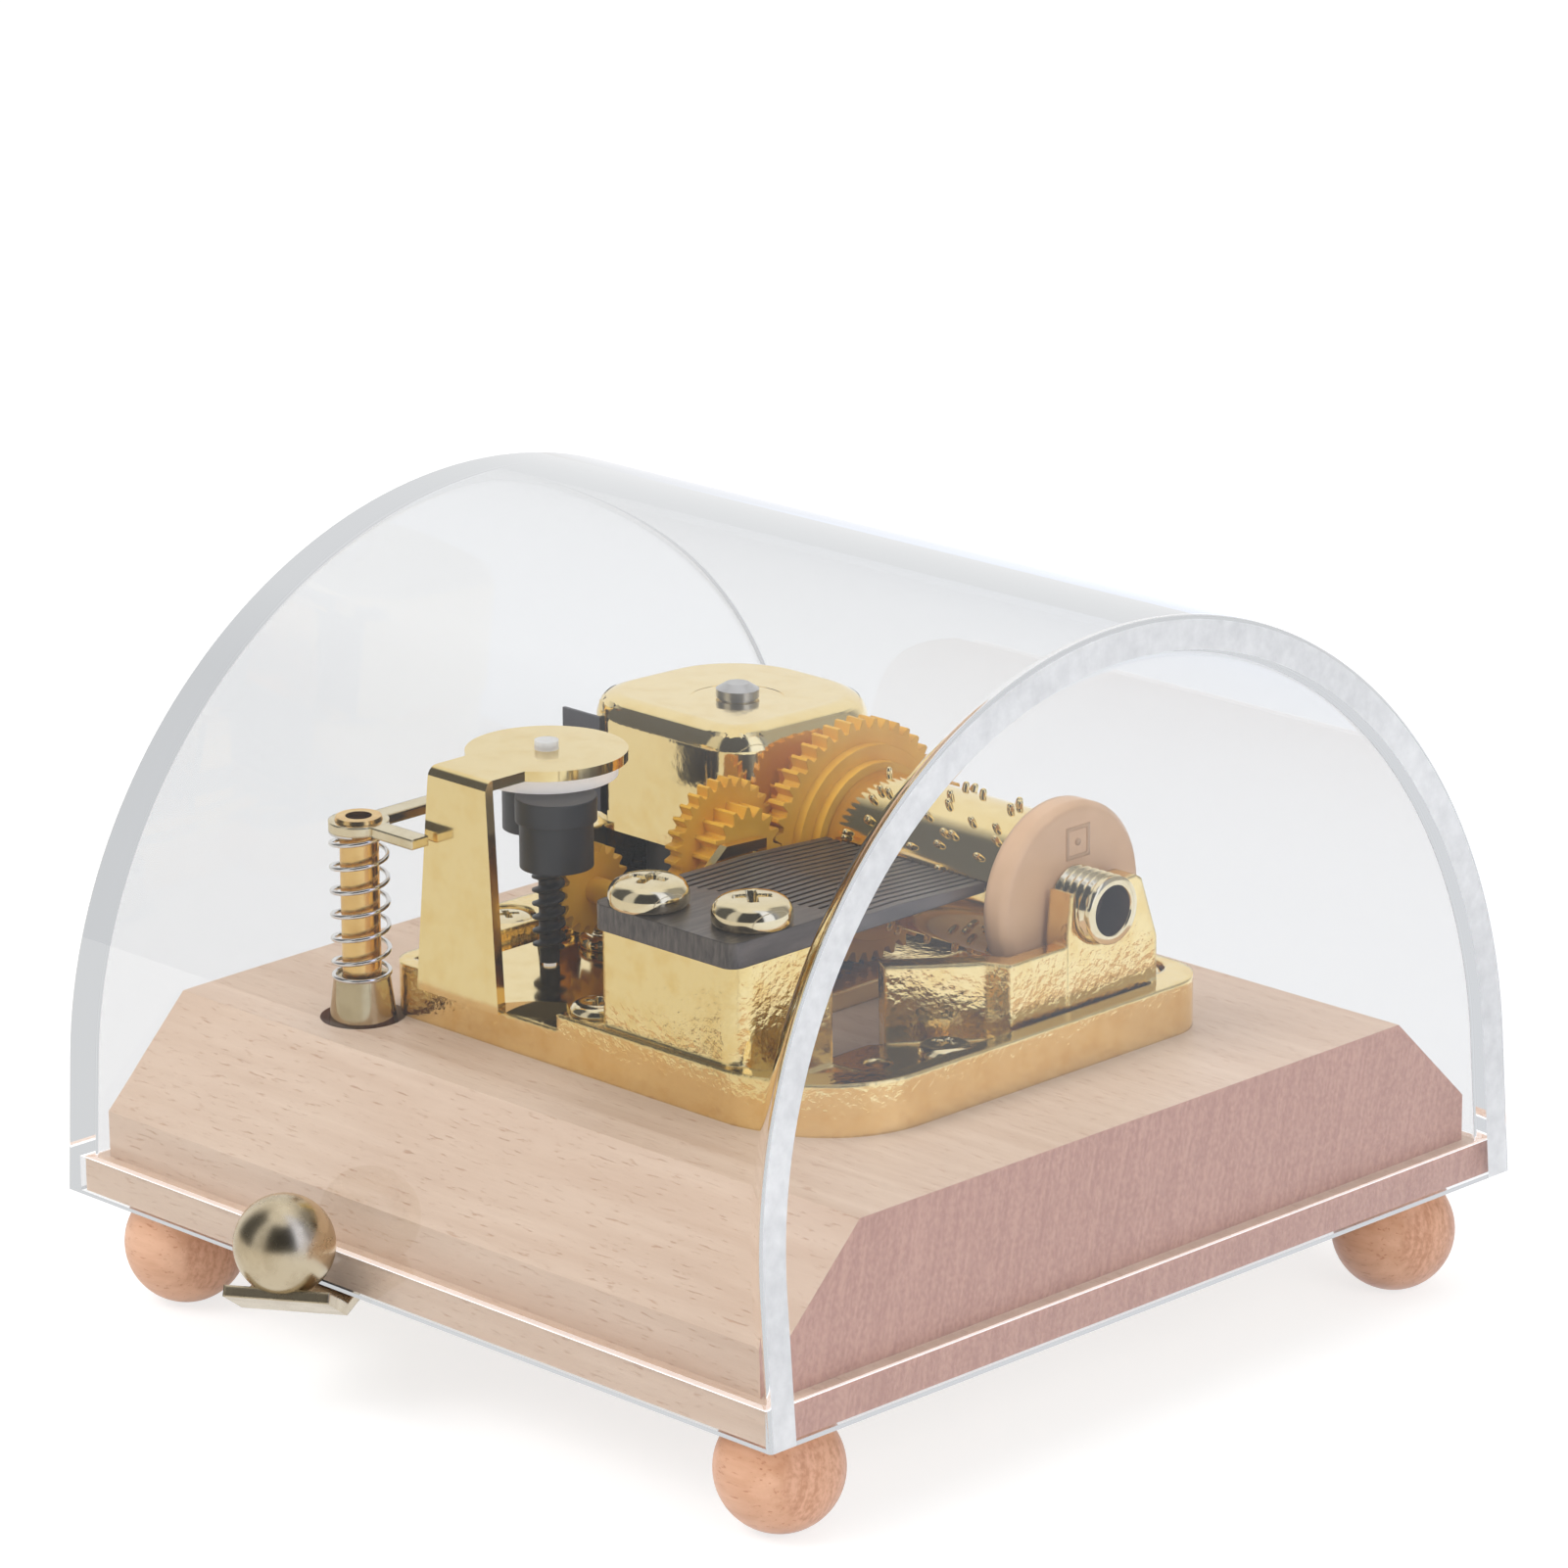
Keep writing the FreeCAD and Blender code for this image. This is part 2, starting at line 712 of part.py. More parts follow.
block(clear_right, open_x, open_x + 14, arbor_y - 14, arbor_y + 14)
pocket(plate, clear_right, housing_bottom, up=True)
clear_front = sketch_on(plate, "XY", deck + plate_rim)
block(clear_front, arbor_x - 7.5, open_x + 1, arbor_y - 14, arbor_y - 6)
pocket(plate, clear_front, housing_bottom, up=True)
inner_x = plate_right - rim_thick
inner_y = plate_back - rim_thick
hollow = sketch_on(plate, "XY", deck + plate_floor)
platform_right = pedestal_left - 0.6
outline(
    hollow,
    [
        (arbor_x + 2, -plate_front + 18),
        (platform_right, -plate_front + 18),
        (platform_right, -plate_front + rim_thick),
        (inner_x - 6, -plate_front + rim_thick),
        (inner_x, -plate_front + rim_thick + 7),
        (inner_x, inner_y - 4),
        (inner_x - 4, inner_y),
        (arbor_x + 2, inner_y),
    ],
)
pocket(plate, hollow, plate_rim, up=True)
shelf = sketch_on(plate, "XY", deck + platform_height)
block(shelf, edge_left + rim_thick, platform_right + 1, -plate_front + rim_thick, -plate_front + 19)
pocket(plate, shelf, plate_rim, up=True)
notch = sketch_on(plate, "XY", deck + platform_height)
block(notch, edge_left + 4.3, pedestal_left - 4.7, -plate_front - 1, -plate_front + 3)
pocket(plate, notch, plate_rim, up=True)
window = sketch_on(plate, "XY", deck)
block(window, pedestal_left, pedestal_right, -plate_front + 12, plate_back - 4.4)
pocket(plate, window, plate_floor + 1, up=True)
pedestal = sketch_on(plate, "XY", deck + plate_floor / 2)
front_y = pedestal_step - plate_front
block(pedestal, pedestal_left, pedestal_right, front_y, front_y + pedestal_depth)
seat = pad(plate, pedestal, comb_height - comb_thick - plate_floor / 2)
rounded = round_off(plate, seat, corner(pedestal_right, front_y), small_round / 2 + 0.5)
post_outer = plate_right - 2.1
post_inner = post_outer - post_thick
post_front = cylinder_y - post_ahead
post_back = post_front + post_depth
post_top = cylinder_z + post_rise
post = sketch_on(plate, "YZ", post_inner)
outline(
    post,
    [
        (post_front, deck + plate_floor / 2),
        (post_back, deck + plate_floor / 2),
        (post_back, cylinder_z - post_shoulder),
        (post_back - post_lean, post_top - 0.4),
        (post_back - post_lean - 0.6, post_top),
        (post_front + 0.4, post_top),
        (post_front, cylinder_z - 1.8),
    ],
)
pad(plate, post, post_thick)
saddle = sketch_on(plate, "YZ", post_inner - 1)
saddle_radius = tube_radius + run_gap
ring(saddle, cylinder_y, cylinder_z, saddle_radius)
pocket(plate, saddle, post_thick + 2, up=True)
mouth = sketch_on(plate, "YZ", post_inner - 1)
block(mouth, cylinder_y - saddle_radius, cylinder_y + saddle_radius, cylinder_z, cylinder_z + 6)
pocket(plate, mouth, post_thick + 2, up=True)
land = sketch_on(plate, "XY", deck + plate_floor / 2)
wall_x = post_outer - 0.1
wall_y = housing_front + 0.2
outline(
    land,
    [
        (pedestal_right - 1, -plate_front + rim_thick - 0.2),
        (inner_x - 6, -plate_front + rim_thick - 0.2),
        (inner_x + 0.2, -plate_front + rim_thick + 6.8),
        (inner_x + 0.2, post_front - 2),
        (wall_x - wall_thick / 2, post_front - 2),
        (wall_x - wall_thick / 2, wall_y - 0.4),
        (wall_x - 2.6, wall_y - 1.6),
        (pedestal_right - 1, wall_y - 8),
    ],
)
pad(plate, land, platform_height - plate_floor / 2)
trough = sketch_on(plate, "XY", deck + plate_floor)
trough_y = -plate_front + rim_thick
outline(
    trough,
    [
        (pedestal_right + 0.3, trough_y + 3.8),
        (pedestal_right + 1.2, trough_y + 3.9),
        (pedestal_right + 3.7, trough_y + 5.3),
        (pedestal_right + 5.3, trough_y + 7.6),
        (pedestal_right + 5.7, trough_y + 9.3),
        (pedestal_right + 4.6, trough_y + 8.3),
        (pedestal_right + 3.2, trough_y + 7.4),
        (pedestal_right + 0.3, trough_y + 7),
    ],
)
pocket(plate, trough, plate_rim, up=True)
spare_hole = sketch_on(plate, "XY", deck + plate_floor / 2)
ring(spare_hole, pedestal_right + 2.5, trough_y + 9.65, spare_hole_radius)
pocket(plate, spare_hole, plate_rim, up=True)
side_wall = sketch_on(plate, "XY", deck + plate_floor / 2)
outline(
    side_wall,
    [
        (pedestal_right - 0.3, wall_y - 6.9),
        (pedestal_right + 1.8, wall_y - 4.5),
        (wall_x - 1.9, wall_y - 0.9),
        (wall_x, wall_y),
        (wall_x, post_front + 0.5),
        (wall_x - wall_thick, post_front + 0.5),
        (wall_x - wall_thick, wall_y + 1.4),
        (wall_x - 2.7, wall_y + 0.8),
        (pedestal_right + 0.6, wall_y - 3.1),
        (pedestal_right - 1.8, wall_y - 6),
    ],
)
pad(plate, side_wall, side_wall_height - plate_floor / 2)
boss = sketch_on(plate, "XY", deck + plate_floor / 2)
ring(boss, arbor_x, arbor_y, arbor_radius + 2.4)
pad(plate, boss, platform_height - plate_floor / 2 - 0.8)
screw_bosses = sketch_on(plate, "XY", deck + plate_floor / 2)
for x, y in wood_screw_places:
    ring(screw_bosses, x, y, screw_seat)
pad(plate, screw_bosses, platform_height - plate_floor / 2)
head_seats = sketch_on(plate, "XY", deck + platform_height)
for x, y in wood_screw_places:
    ring(head_seats, x, y, small_head + 0.2)
pocket(plate, head_seats, plate_rim, up=True)
arbor_hole = sketch_on(plate, "XY", deck)
ring(arbor_hole, arbor_x, arbor_y, arbor_radius + run_gap)
pocket(plate, arbor_hole, plate_rim, up=True)
screw_holes = sketch_on(plate, "XY", deck)
for x, y in wood_screw_places:
    ring(screw_holes, x, y, wood_screw_radius + run_gap)
pocket(plate, screw_holes, plate_rim, up=True)
comb_screw_places = [
    (pedestal_left + 3.25, front_y + 1.2 + pedestal_step),
    (pedestal_right - 2.4, front_y + 4),
]
tapped = sketch_on(plate, "XY", comb_top - comb_thick)
for x, y in comb_screw_places:
    ring(tapped, x, y, comb_screw_shank + seat_gap)
pocket(plate, tapped, comb_screw_length)
bracket_left = governor_x - 4.9
bracket_screws_at = [
    (pedestal_left - 3.05, -plate_front + 2.8),
    (bracket_left + 4.6, second_y + 1.8),
]
ear_seat = sketch_on(plate, "XY", plate_top)
ring(ear_seat, *bracket_screws_at[0], small_head + 0.2)
pocket(plate, ear_seat, plate_rim, up=True)
small_holes = sketch_on(plate, "XY", deck + platform_height)
for x, y in bracket_screws_at:
    ring(small_holes, x, y, small_screw_radius + seat_gap)
ring(small_holes, governor_x, governor_y, train_pin + run_gap * 2)
pocket(plate, small_holes, small_screw_length)
keep(plate, "bedplate")

# Comb: a thick root screwed to the pedestal, thinner teeth cut free by slots of rising length,
# and tips that slope down to the pins.
tip_low = comb_top - tooth_thick
tip_clear = drum_radius + pin_reach + run_gap
tip_side = tip_low - cylinder_z
tip_y = cylinder_y - root(tip_clear * tip_clear - tip_side * tip_side)
comb_front = front_y - comb_overhang
comb_right = comb_left + comb_width
comb_body = new_body("comb_blank")
side_view = sketch_on(comb_body, "YZ", comb_left)
ramp_start = tip_y - 9
outline(
    side_view,
    [
        (comb_front, comb_top - comb_thick),
        (front_y + pedestal_depth, comb_top - comb_thick),
        (front_y + pedestal_depth, tip_low),
        (tip_y, tip_low),
        (tip_y, tip_low + tip_thick),
        (ramp_start, comb_top),
        (comb_front, comb_top),
    ],
)
comb_pad = pad(comb_body, side_view, comb_width)
rounded = round_off(comb_body, comb_pad, corner(comb_left, comb_front), 1.2)
rounded = round_off(comb_body, rounded, corner(comb_right, comb_front), 1.2)
screw_clear = sketch_on(comb_body, "XY", comb_top)
for x, y in comb_screw_places:
    ring(screw_clear, x, y, comb_screw_shank + run_gap)
pocket(comb_body, screw_clear, comb_thick)
slots = []
slot_count = int(comb_teeth.value) - 1
for i in range(slot_count):
    slot = doc.addObject("Part::Box", "slot")
    share = i / (slot_count - 1)
    length = slot_root_left + (slot_root_right - slot_root_left) * share
    bind(slot, "Length", slot_width)
    bind(slot, "Width", length + 1)
    bind(slot, "Height", comb_thick + 2)
    middle = comb_left + comb_width * ((i + 1) / (slot_count + 1))
    set_off(slot, middle - slot_width / 2, tip_y - length, comb_top - comb_thick - 1)
    slots.append(slot)
comb_slots = doc.addObject("Part::MultiFuse", "comb_slots")
comb_slots.Shapes = slots
comb = doc.addObject("Part::Cut", "comb")
comb.Base = comb_body
comb.Tool = comb_slots
keep(comb, "comb")


# Screws: round heads with a crossed recess; each set is one node of separate solids.
def screw(name, head, height, shank, length):
    """A bevelled head with a crossed recess on a plain shank, its seat at the local origin."""
    body = new_body(name)
    sketch = sketch_on(body, "XZ")
    outline(
        sketch,
        [
            (0, -length),
            (shank, -length),
            (shank, 0),
            (head, 0),
            (head, height * 0.6),
            (head * 0.7, height),
            (0, height),
        ],
    )
    turn(body, sketch)
    cross = sketch_on(body, "XY", height)
    arm = head * 0.52
    thin = head * 0.1
    outline(
        cross,
        [
            (-arm, -thin),
            (-thin, -thin),
            (-thin, -arm),
            (thin, -arm),
            (thin, -thin),
            (arm, -thin),
            (arm, thin),
            (thin, thin),
            (thin, arm),
            (-thin, arm),
            (-thin, thin),
            (-arm, thin),
        ],
    )
    pocket(body, cross, height * 0.55)
    return body


def screw_set(label, model, places, z, turns):
    """Copies of one screw, gathered in one node."""
    copies = []
    for (x, y), angle in zip(places, turns):
        copy = doc.addObject("App::Link", "screw_copy")
        copy.LinkedObject = model
        set_off(copy, x, y, z, Z_UP, angle)
        copies.append(copy)
    group = doc.addObject("Part::Compound", label)
    group.Links = copies
    return keep(group, label)


comb_screw = screw("comb_screw", comb_screw_radius, comb_screw_height, comb_screw_shank, comb_screw_length)
screw_set("comb_screws", comb_screw, comb_screw_places, comb_top, (20, 50))
bracket_screw = screw("bracket_screw", small_head, small_head_height, small_screw_radius, small_screw_length)
screw_set("bracket_screws", bracket_screw, bracket_screws_at, plate_top, (35, 10))
wood_screw = screw("wood_screw", small_head, small_head_height, wood_screw_radius, wood_screw_length)
screw_set("wood_screws", wood_screw, wood_screw_places, deck + platform_height, (15, 60, 0))

# Cylinder: a brass drum with its pins, the toothed end, the plain end disc and the arbor.
drum_end = drum_start + drum_length


def pinned_drum():
    """The drum's tube with one row of short square pins for each tooth of the comb."""
    radius = drum_radius.value
    start = drum_start.value
    length = drum_length.value
    tube = Part.makeCylinder(radius, length, V(start, 0, 0), X_ALONG)
    hole = Part.makeCylinder(radius - drum_wall.value, length, V(start, 0, 0), X_ALONG)
    rows_of_pins = []
    count = int(comb_teeth.value)
    pitch = comb_width.value / count
    for row in range(count):
        x = comb_left.value + pitch * (row + 0.5)
        notes = 3 + (row * 5) % 3
        for note in range(notes):
            angle = 360 * ((row * 0.381966 + note / notes + 0.07 * ((row * note) % 4)) % 1)
            sides = []
            for k in range(5):
                turned_by = math.radians(90 * k + 45)
                across = pin_radius.value
                sides.append(V(across * math.cos(turned_by), across * math.sin(turned_by), radius - 0.4))
            face = Part.Face(Part.makePolygon(sides))
            pin = face.extrude(V(0, 0, 0.4 + pin_reach.value))
            pin.translate(V(x, 0, 0))
            pin.rotate(V(0, 0, 0), X_ALONG, angle)
            rows_of_pins.append(pin)
    return tube.cut(hole).fuse(rows_of_pins)


drum = doc.addObject("Part::Feature", "drum")
drum.Shape = pinned_drum()
place(drum, 0, cylinder_y, cylinder_z)
keep(drum, "drum")

plug = drum_radius - drum_wall - run_gap
toothed_end = new_body("cylinder_gear")
toothed(toothed_end, "YZ", -gear_width, gear_width, train_module, cylinder_teeth)
collar(toothed_end, "YZ", 0, drum_start / 2, end_disc_radius + 0.1)
collar(toothed_end, "YZ", 0, drum_start, drum_radius + 0.65)
collar(toothed_end, "YZ", 0, drum_start + 1.8, plug)
bore(toothed_end, "YZ", -gear_width - 1, gear_width + drum_start + 4, shaft_radius + seat_gap)
place(toothed_end, 0, cylinder_y, cylinder_z)
keep(toothed_end, "cylinder_gear")

drive_start = housing_right + air_gap
drive = new_body("drive_gear")
toothed(drive, "YZ", drive_start, crown_width, drive_module, drive_teeth, 0.34)
collar(drive, "YZ", drive_start, -gear_width - drive_start - seat_gap, drive_pitch * 0.5)
bore(drive, "YZ", drive_start - 1, crown_width + 3, shaft_radius + seat_gap)
place(drive, 0, cylinder_y, cylinder_z, X_ALONG, -90 - 180 / drive_teeth.value)
keep(drive, "drive_gear")

disc = new_body("end_disc")
disc_face = collar(disc, "YZ", drum_end, end_disc_thick, end_disc_radius)


def rim_circle(edge):
    box = edge.BoundBox
    return box.XMin > val(drum_end + end_disc_thick) - 0.01 and box.YLength > val(end_disc_radius)


round_off(disc, disc_face, rim_circle, 0.5, "Chamfer")
plug_sketch = sketch_on(disc, "YZ", drum_end - 1.8)
ring(plug_sketch, 0, 0, plug)
pad(disc, plug_sketch, 2)
bore(disc, "YZ", drum_end - 3, end_disc_thick + 4, shaft_radius + seat_gap)
place(disc, 0, cylinder_y, cylinder_z)
keep(disc, "end_disc")

tube_start = drum_end + end_disc_thick + seat_gap
tube_end = tube_start + tube_length
arbor_profile = [
    (housing_right - housing_wall - 0.2, 0),
    (housing_right - housing_wall - 0.2, pivot_radius),
    (housing_right + air_gap * 0.7, pivot_radius),
    (housing_right + air_gap * 0.7, shaft_radius),
    (tube_start, shaft_radius),
    (tube_start, tube_radius),
    (tube_end, tube_radius),
    (tube_end, tube_bore),
    (tube_end - bore_depth, tube_bore),
    (tube_end - bore_depth - 0.6, 0),
]
cylinder_arbor = turned("cylinder_arbor", arbor_profile, "X")
place(cylinder_arbor, 0, cylinder_y, cylinder_z)

# Spring housing: a drawn cup, open below, with a bearing lug for the cylinder's arbor and a
# slot where the mainspring's outer end comes out.
housing = new_body("spring_housing")
housing_low = deck + housing_bottom
plan = sketch_on(housing, "XY", housing_low)
block(plan, housing_left, housing_right, housing_front, housing_back)
cup = pad(housing, plan, housing_height)
cup = round_off(housing, cup, corner(housing_left, housing_back), back_round)
cup = round_off(housing, cup, corner(housing_right, housing_back), back_round)
cup = round_off(housing, cup, corner(housing_left, housing_front), front_left_round)
cup = round_off(housing, cup, corner(housing_right, housing_front), front_right_bend)


def top_edge(edge):
    return edge.BoundBox.ZMin > val(housing_top) - 0.01


cup = round_off(housing, cup, top_edge, shoulder_round, "Chamfer")
doc.recompute()
open_face = [f"Face{i + 1}" for i, face in enumerate(cup.Shape.Faces) if face.BoundBox.ZMax < val(housing_low) + 0.01]
shell = housing.newObject("PartDesign::Thickness", "shell")
shell.Base = (cup, open_face)
bind(shell, "Value", housing_wall)
shell.Reversed = True
shell.Mode = 0
shell.Join = 0
lug = sketch_on(housing, "YZ", housing_right - housing_wall)
block(lug, cylinder_y - 3, cylinder_y + 3, housing_low - lug_drop, housing_low + 0.5)
pad(housing, lug, housing_wall)
ring_recess = sketch_on(housing, "XY", housing_top)
ring(ring_recess, arbor_x, arbor_y, 3.8)
pocket(housing, ring_recess, 0.25)
through = sketch_on(housing, "XY", housing_top)
ring(through, arbor_x, arbor_y, arbor_radius + run_gap)
pocket(housing, through, housing_wall + 1)
pivot_hole = sketch_on(housing, "YZ", housing_right - housing_wall - 1)
ring(pivot_hole, cylinder_y, cylinder_z, pivot_radius + run_gap)
pocket(housing, pivot_hole, housing_wall + 2, up=True)
spring_start = arbor_radius + 0.8
spring_room = housing_right - housing_wall - arbor_x - spring_strip - 0.2
spring_step = (spring_room - spring_start) / (spring_turns * 2 - 2)
strip_x = arbor_x - spring_start - spring_step * (spring_turns * 2 - 2)
strip_low = housing_low + 1.3
slot_plan = sketch_on(housing, "XY", strip_low - 0.3)
block(slot_plan, strip_x - 0.7, strip_x + 0.5, housing_front - 1, housing_front + 4)
pocket(housing, slot_plan, strip_height + 0.6, up=True)
keep(housing, "spring_housing")


def coiled_strip():
    """The mainspring: half rings of growing radius, then a leg out through the slot."""
    half = spring_strip.value / 2
    step = spring_step.value
    tall = strip_height.value
    pieces = []
    for i in range(int(2 * spring_turns.value) - 1):
        radius = spring_start.value + step * i
        middle = V(step * (i % 2), 0, 0)
        start = FreeCAD.Rotation(Z_UP, 180 * (i % 2))
        outer = Part.makeCylinder(radius + half, tall, V(), Z_UP, 180)
        inner = Part.makeCylinder(radius - half, tall, V(), Z_UP, 180)
        ring_half = outer.cut(inner)
        ring_half.Placement = FreeCAD.Placement(middle, start)
        pieces.append(ring_half)
    leg_x = strip_x.value - arbor_x.value
    turn_y = housing_front.value - arbor_y.value
    out = 4.2
    leg = Part.makeBox(2 * half, half - turn_y, tall, V(leg_x - half, turn_y - half, 0))
    tab = Part.makeBox(out, 2 * half, tall, V(leg_x - out, turn_y - half, 0))
    return pieces[0].fuse(pieces[1:] + [leg, tab]).removeSplitter()


mainspring = doc.addObject("Part::Feature", "mainspring")
mainspring.Shape = coiled_strip()
place(mainspring, arbor_x, arbor_y, strip_low)
keep(mainspring, "mainspring")

# Great wheel: a crown wheel whose bars lie along X where they pass under the drive gear.
wheel_low = deck + platform_height + 0.9
crown_top = wheel_low + crown_disc
great = new_body("great_wheel")
crown = collar(great, "XY", wheel_low, crown_disc, crown_reach + crown_width / 2 + 0.25)
hub_low = deck + platform_height + 0.3
collar(great, "XY", hub_low, crown_disc, arbor_radius + 1.6)
collar(great, "XY", wheel_low, housing_low - wheel_low - 0.4, spool_radius)
bar = sketch_on(great, "XY", crown_top - 0.1)
offset = cylinder_y - arbor_y
bar_half = drive_module * (math.pi * 0.18)
bar_in = crown_reach - crown_width / 2
bar_out = crown_reach + crown_width / 2 - 0.1
block(bar, bar_in, bar_out, offset - bar_half, offset + bar_half)
bar_pad = pad(great, bar, bar_height + 0.1)
around(great, bar_pad, bar, great_teeth)
bore(great, "XY", hub_low - 1, housing_height + 8, arbor_radius + run_gap)
place(great, arbor_x, arbor_y)
keep(great, "great_wheel")

# Winding arbor, the ratchet wheel on it, and the key under the base.
core_low = housing_low - 0.25
arbor_low = foot_height + 5.5
core_high = strip_low + strip_height
turned_arbor = turned(
    "winding_arbor",
    [
        (0, arbor_low),
        (arbor_radius, arbor_low),
        (arbor_radius, core_low),
        (spring_start - spring_strip, core_low),
        (spring_start - spring_strip, core_high),
        (arbor_radius, core_high),
        (arbor_radius, housing_top + 0.05),
        (arbor_head, housing_top + 0.05),
        (arbor_head, housing_top + head_height * 0.6),
        (arbor_head * 0.55, housing_top + head_height),
        (0, housing_top + head_height),
    ],
)
place(turned_arbor, arbor_x, arbor_y)
ratchet_low = deck + platform_height - 0.7
ratchet = new_body("ratchet_wheel")
ratchet_foot = ratchet_radius * 0.8
collar(ratchet, "XY", ratchet_low, sheet_thick, ratchet_foot)
saw = sketch_on(ratchet, "XY", ratchet_low)
saw_back = ratchet_radius * 0.5
outline(saw, [(ratchet_foot * 0.8, 0), (ratchet_radius, 0), (ratchet_foot * 0.9, saw_back), (ratchet_foot * 0.7, saw_back)])
saw_pad = pad(ratchet, saw, sheet_thick)
around(ratchet, saw_pad, saw, ratchet_teeth)
bore(ratchet, "XY", ratchet_low - 1, sheet_thick + 2, arbor_radius + seat_gap)
place(ratchet, arbor_x, arbor_y)
keep(ratchet, "ratchet_wheel")

key = new_body("winding_key")
wing_z = key_clear + key_wing
for side in (-1, 1):
    wing = sketch_on(key, "XZ")
    ring(wing, key_reach * side, wing_z, key_wing)
    pad(key, wing, key_thick, both=True)
web = sketch_on(key, "XZ")
web_x = key_reach - 0.5
block(web, -web_x, web_x, wing_z - 1.6, wing_z + key_wing - 0.3)
pad(key, web, key_thick, both=True)
stem = sketch_on(key, "XY", wing_z)
ring(stem, 0, 0, stem_radius)
pad(key, stem, foot_height + 10.5 - wing_z)
for side in (-1, 1):
    eye = sketch_on(key, "XZ", key_thick)
    ring(eye, key_reach * side, wing_z, key_wing * 0.42)
    pocket(key, eye, key_thick * 2)
bore(key, "XY", arbor_low - seat_gap, housing_height, arbor_radius + seat_gap)
place(key, arbor_x, arbor_y)
keep(key, "winding_key")

# Train: first wheel and pinion, second pinion and worm wheel, each a moulding on a steel pin.
cheek_out = cheek_x + sheet_thick
tab_in = housing_right - 1.7
first_dir = math.degrees(math.atan2(first_drop.value, (first_y - cylinder_y).value))
first_phase = mesh_phase(first_dir, 0, cylinder_teeth, pinion_teeth)
pin_bore = train_pin + seat_gap
first = new_body("first_wheel")
wheel_left = housing_right + 0.35
pinion_left = -gear_width - 0.55
toothed(first, "YZ", wheel_left, pinion_left - wheel_left, fine_module, first_teeth)
toothed(first, "YZ", pinion_left, -pinion_left, train_module, pinion_teeth)
collar(first, "YZ", tab_in + sheet_thick + air_gap, wheel_left - tab_in - sheet_thick, train_pin * 2)
bore(first, "YZ", tab_in, cheek_x - tab_in, pin_bore)
place(first, 0, first_y, first_z, X_ALONG, first_phase)
keep(first, "first_wheel")


def train_arbor(label, left, y, z):
    """A plain steel pin from one bearing through the cheek."""
    pin = turned(label, [(left, 0), (left, train_pin), (cheek_out + 0.1, train_pin), (cheek_out + 0.1, 0)], "X")
    place(pin, 0, y, z)


train_arbor("first_arbor", tab_in - 0.1, first_y, first_z)
second_dir = math.degrees(math.atan2((second_z - first_z).value, (second_y - first_y).value))
second_phase = mesh_phase(second_dir, first_phase, first_teeth, second_teeth)
second = new_body("second_wheel")
pinion_start = housing_right - 0.3
worm_left = governor_x - worm_wheel_width / 2
toothed(second, "YZ", pinion_start, -pinion_start + 0.15, fine_module, second_teeth)
toothed(second, "YZ", worm_left, worm_wheel_width, fine_module, worm_wheel_teeth, 0.38)
collar(second, "YZ", worm_left + worm_wheel_width / 2, pinion_start - worm_left, second_pitch * 0.6)
far_tab = bracket_left + 0.9
collar(second, "YZ", far_tab + sheet_thick + air_gap, worm_left - far_tab - sheet_thick, train_pin * 2)
bore(second, "YZ", far_tab, cheek_x - far_tab, pin_bore)
place(second, 0, second_y, second_z, X_ALONG, second_phase)
keep(second, "second_wheel")
train_arbor("second_arbor", far_tab - 0.1, second_y, second_z)

# Governor: a worm and two weights on one upright pin, under a nylon disc held by the bracket.
fly_low = deck + 13.45
nylon_low = bracket_top - sheet_thick - nylon_thick
pivot_low = deck + platform_height - small_screw_length + 0.2
worm_low = plate_top + 1.6
worm_high = fly_low - 0.2
governor_pin = turned(
    "governor_pin",
    [
        (0, pivot_low),
        (train_pin, pivot_low),
        (train_pin, bracket_top + 0.1),
        (0, bracket_top + 0.1),
    ],
)
place(governor_pin, governor_x, governor_y)
worm = new_body("governor_worm")
worm_root = worm_radius - fine_module * 1.05
collar(worm, "XY", plate_top + 0.25, fly_low - plate_top - 0.3, worm_root)
thread = sketch_on(worm, "XZ")
thread_low = worm_low + worm_lead / 2
thread_out = worm_radius + fine_module * 0.75
thread_half = worm_lead * 0.19
thread_wide = thread_half + fine_module * 0.36
thread_thin = thread_half - fine_module * 0.27
outline(
    thread,
    [
        (worm_root - 0.1, thread_low - thread_wide),
        (thread_out, thread_low - thread_thin),
        (thread_out, thread_low + thread_thin),
        (worm_root - 0.1, thread_low + thread_wide),
    ],
)
helix = worm.newObject("PartDesign::AdditiveHelix", "thread")
helix.Profile = thread
helix.ReferenceAxis = (thread, ["V_Axis"])
helix.Mode = "pitch-height-angle"
bind(helix, "Pitch", worm_lead)
bind(helix, "Height", worm_high - worm_low - worm_lead)
doc.recompute()
bore(worm, "XY", worm_low - 3, worm_high - worm_low + 5, pin_bore)
face_tooth = (180 - second_phase + 180 / worm_wheel_teeth.value) % (360 / worm_wheel_teeth.value)
face_tooth -= 180 / worm_wheel_teeth.value
gap_z = second_z.value + worm_wheel_pitch.value * math.radians(face_tooth)
wanted = gap_z + worm_lead.value / 2
worm_turn = 90 - 360 * (wanted - thread_low.value) / worm_lead.value
place(worm, governor_x, governor_y, 0, Z_UP, worm_turn % 360)
keep(worm, "governor_worm")

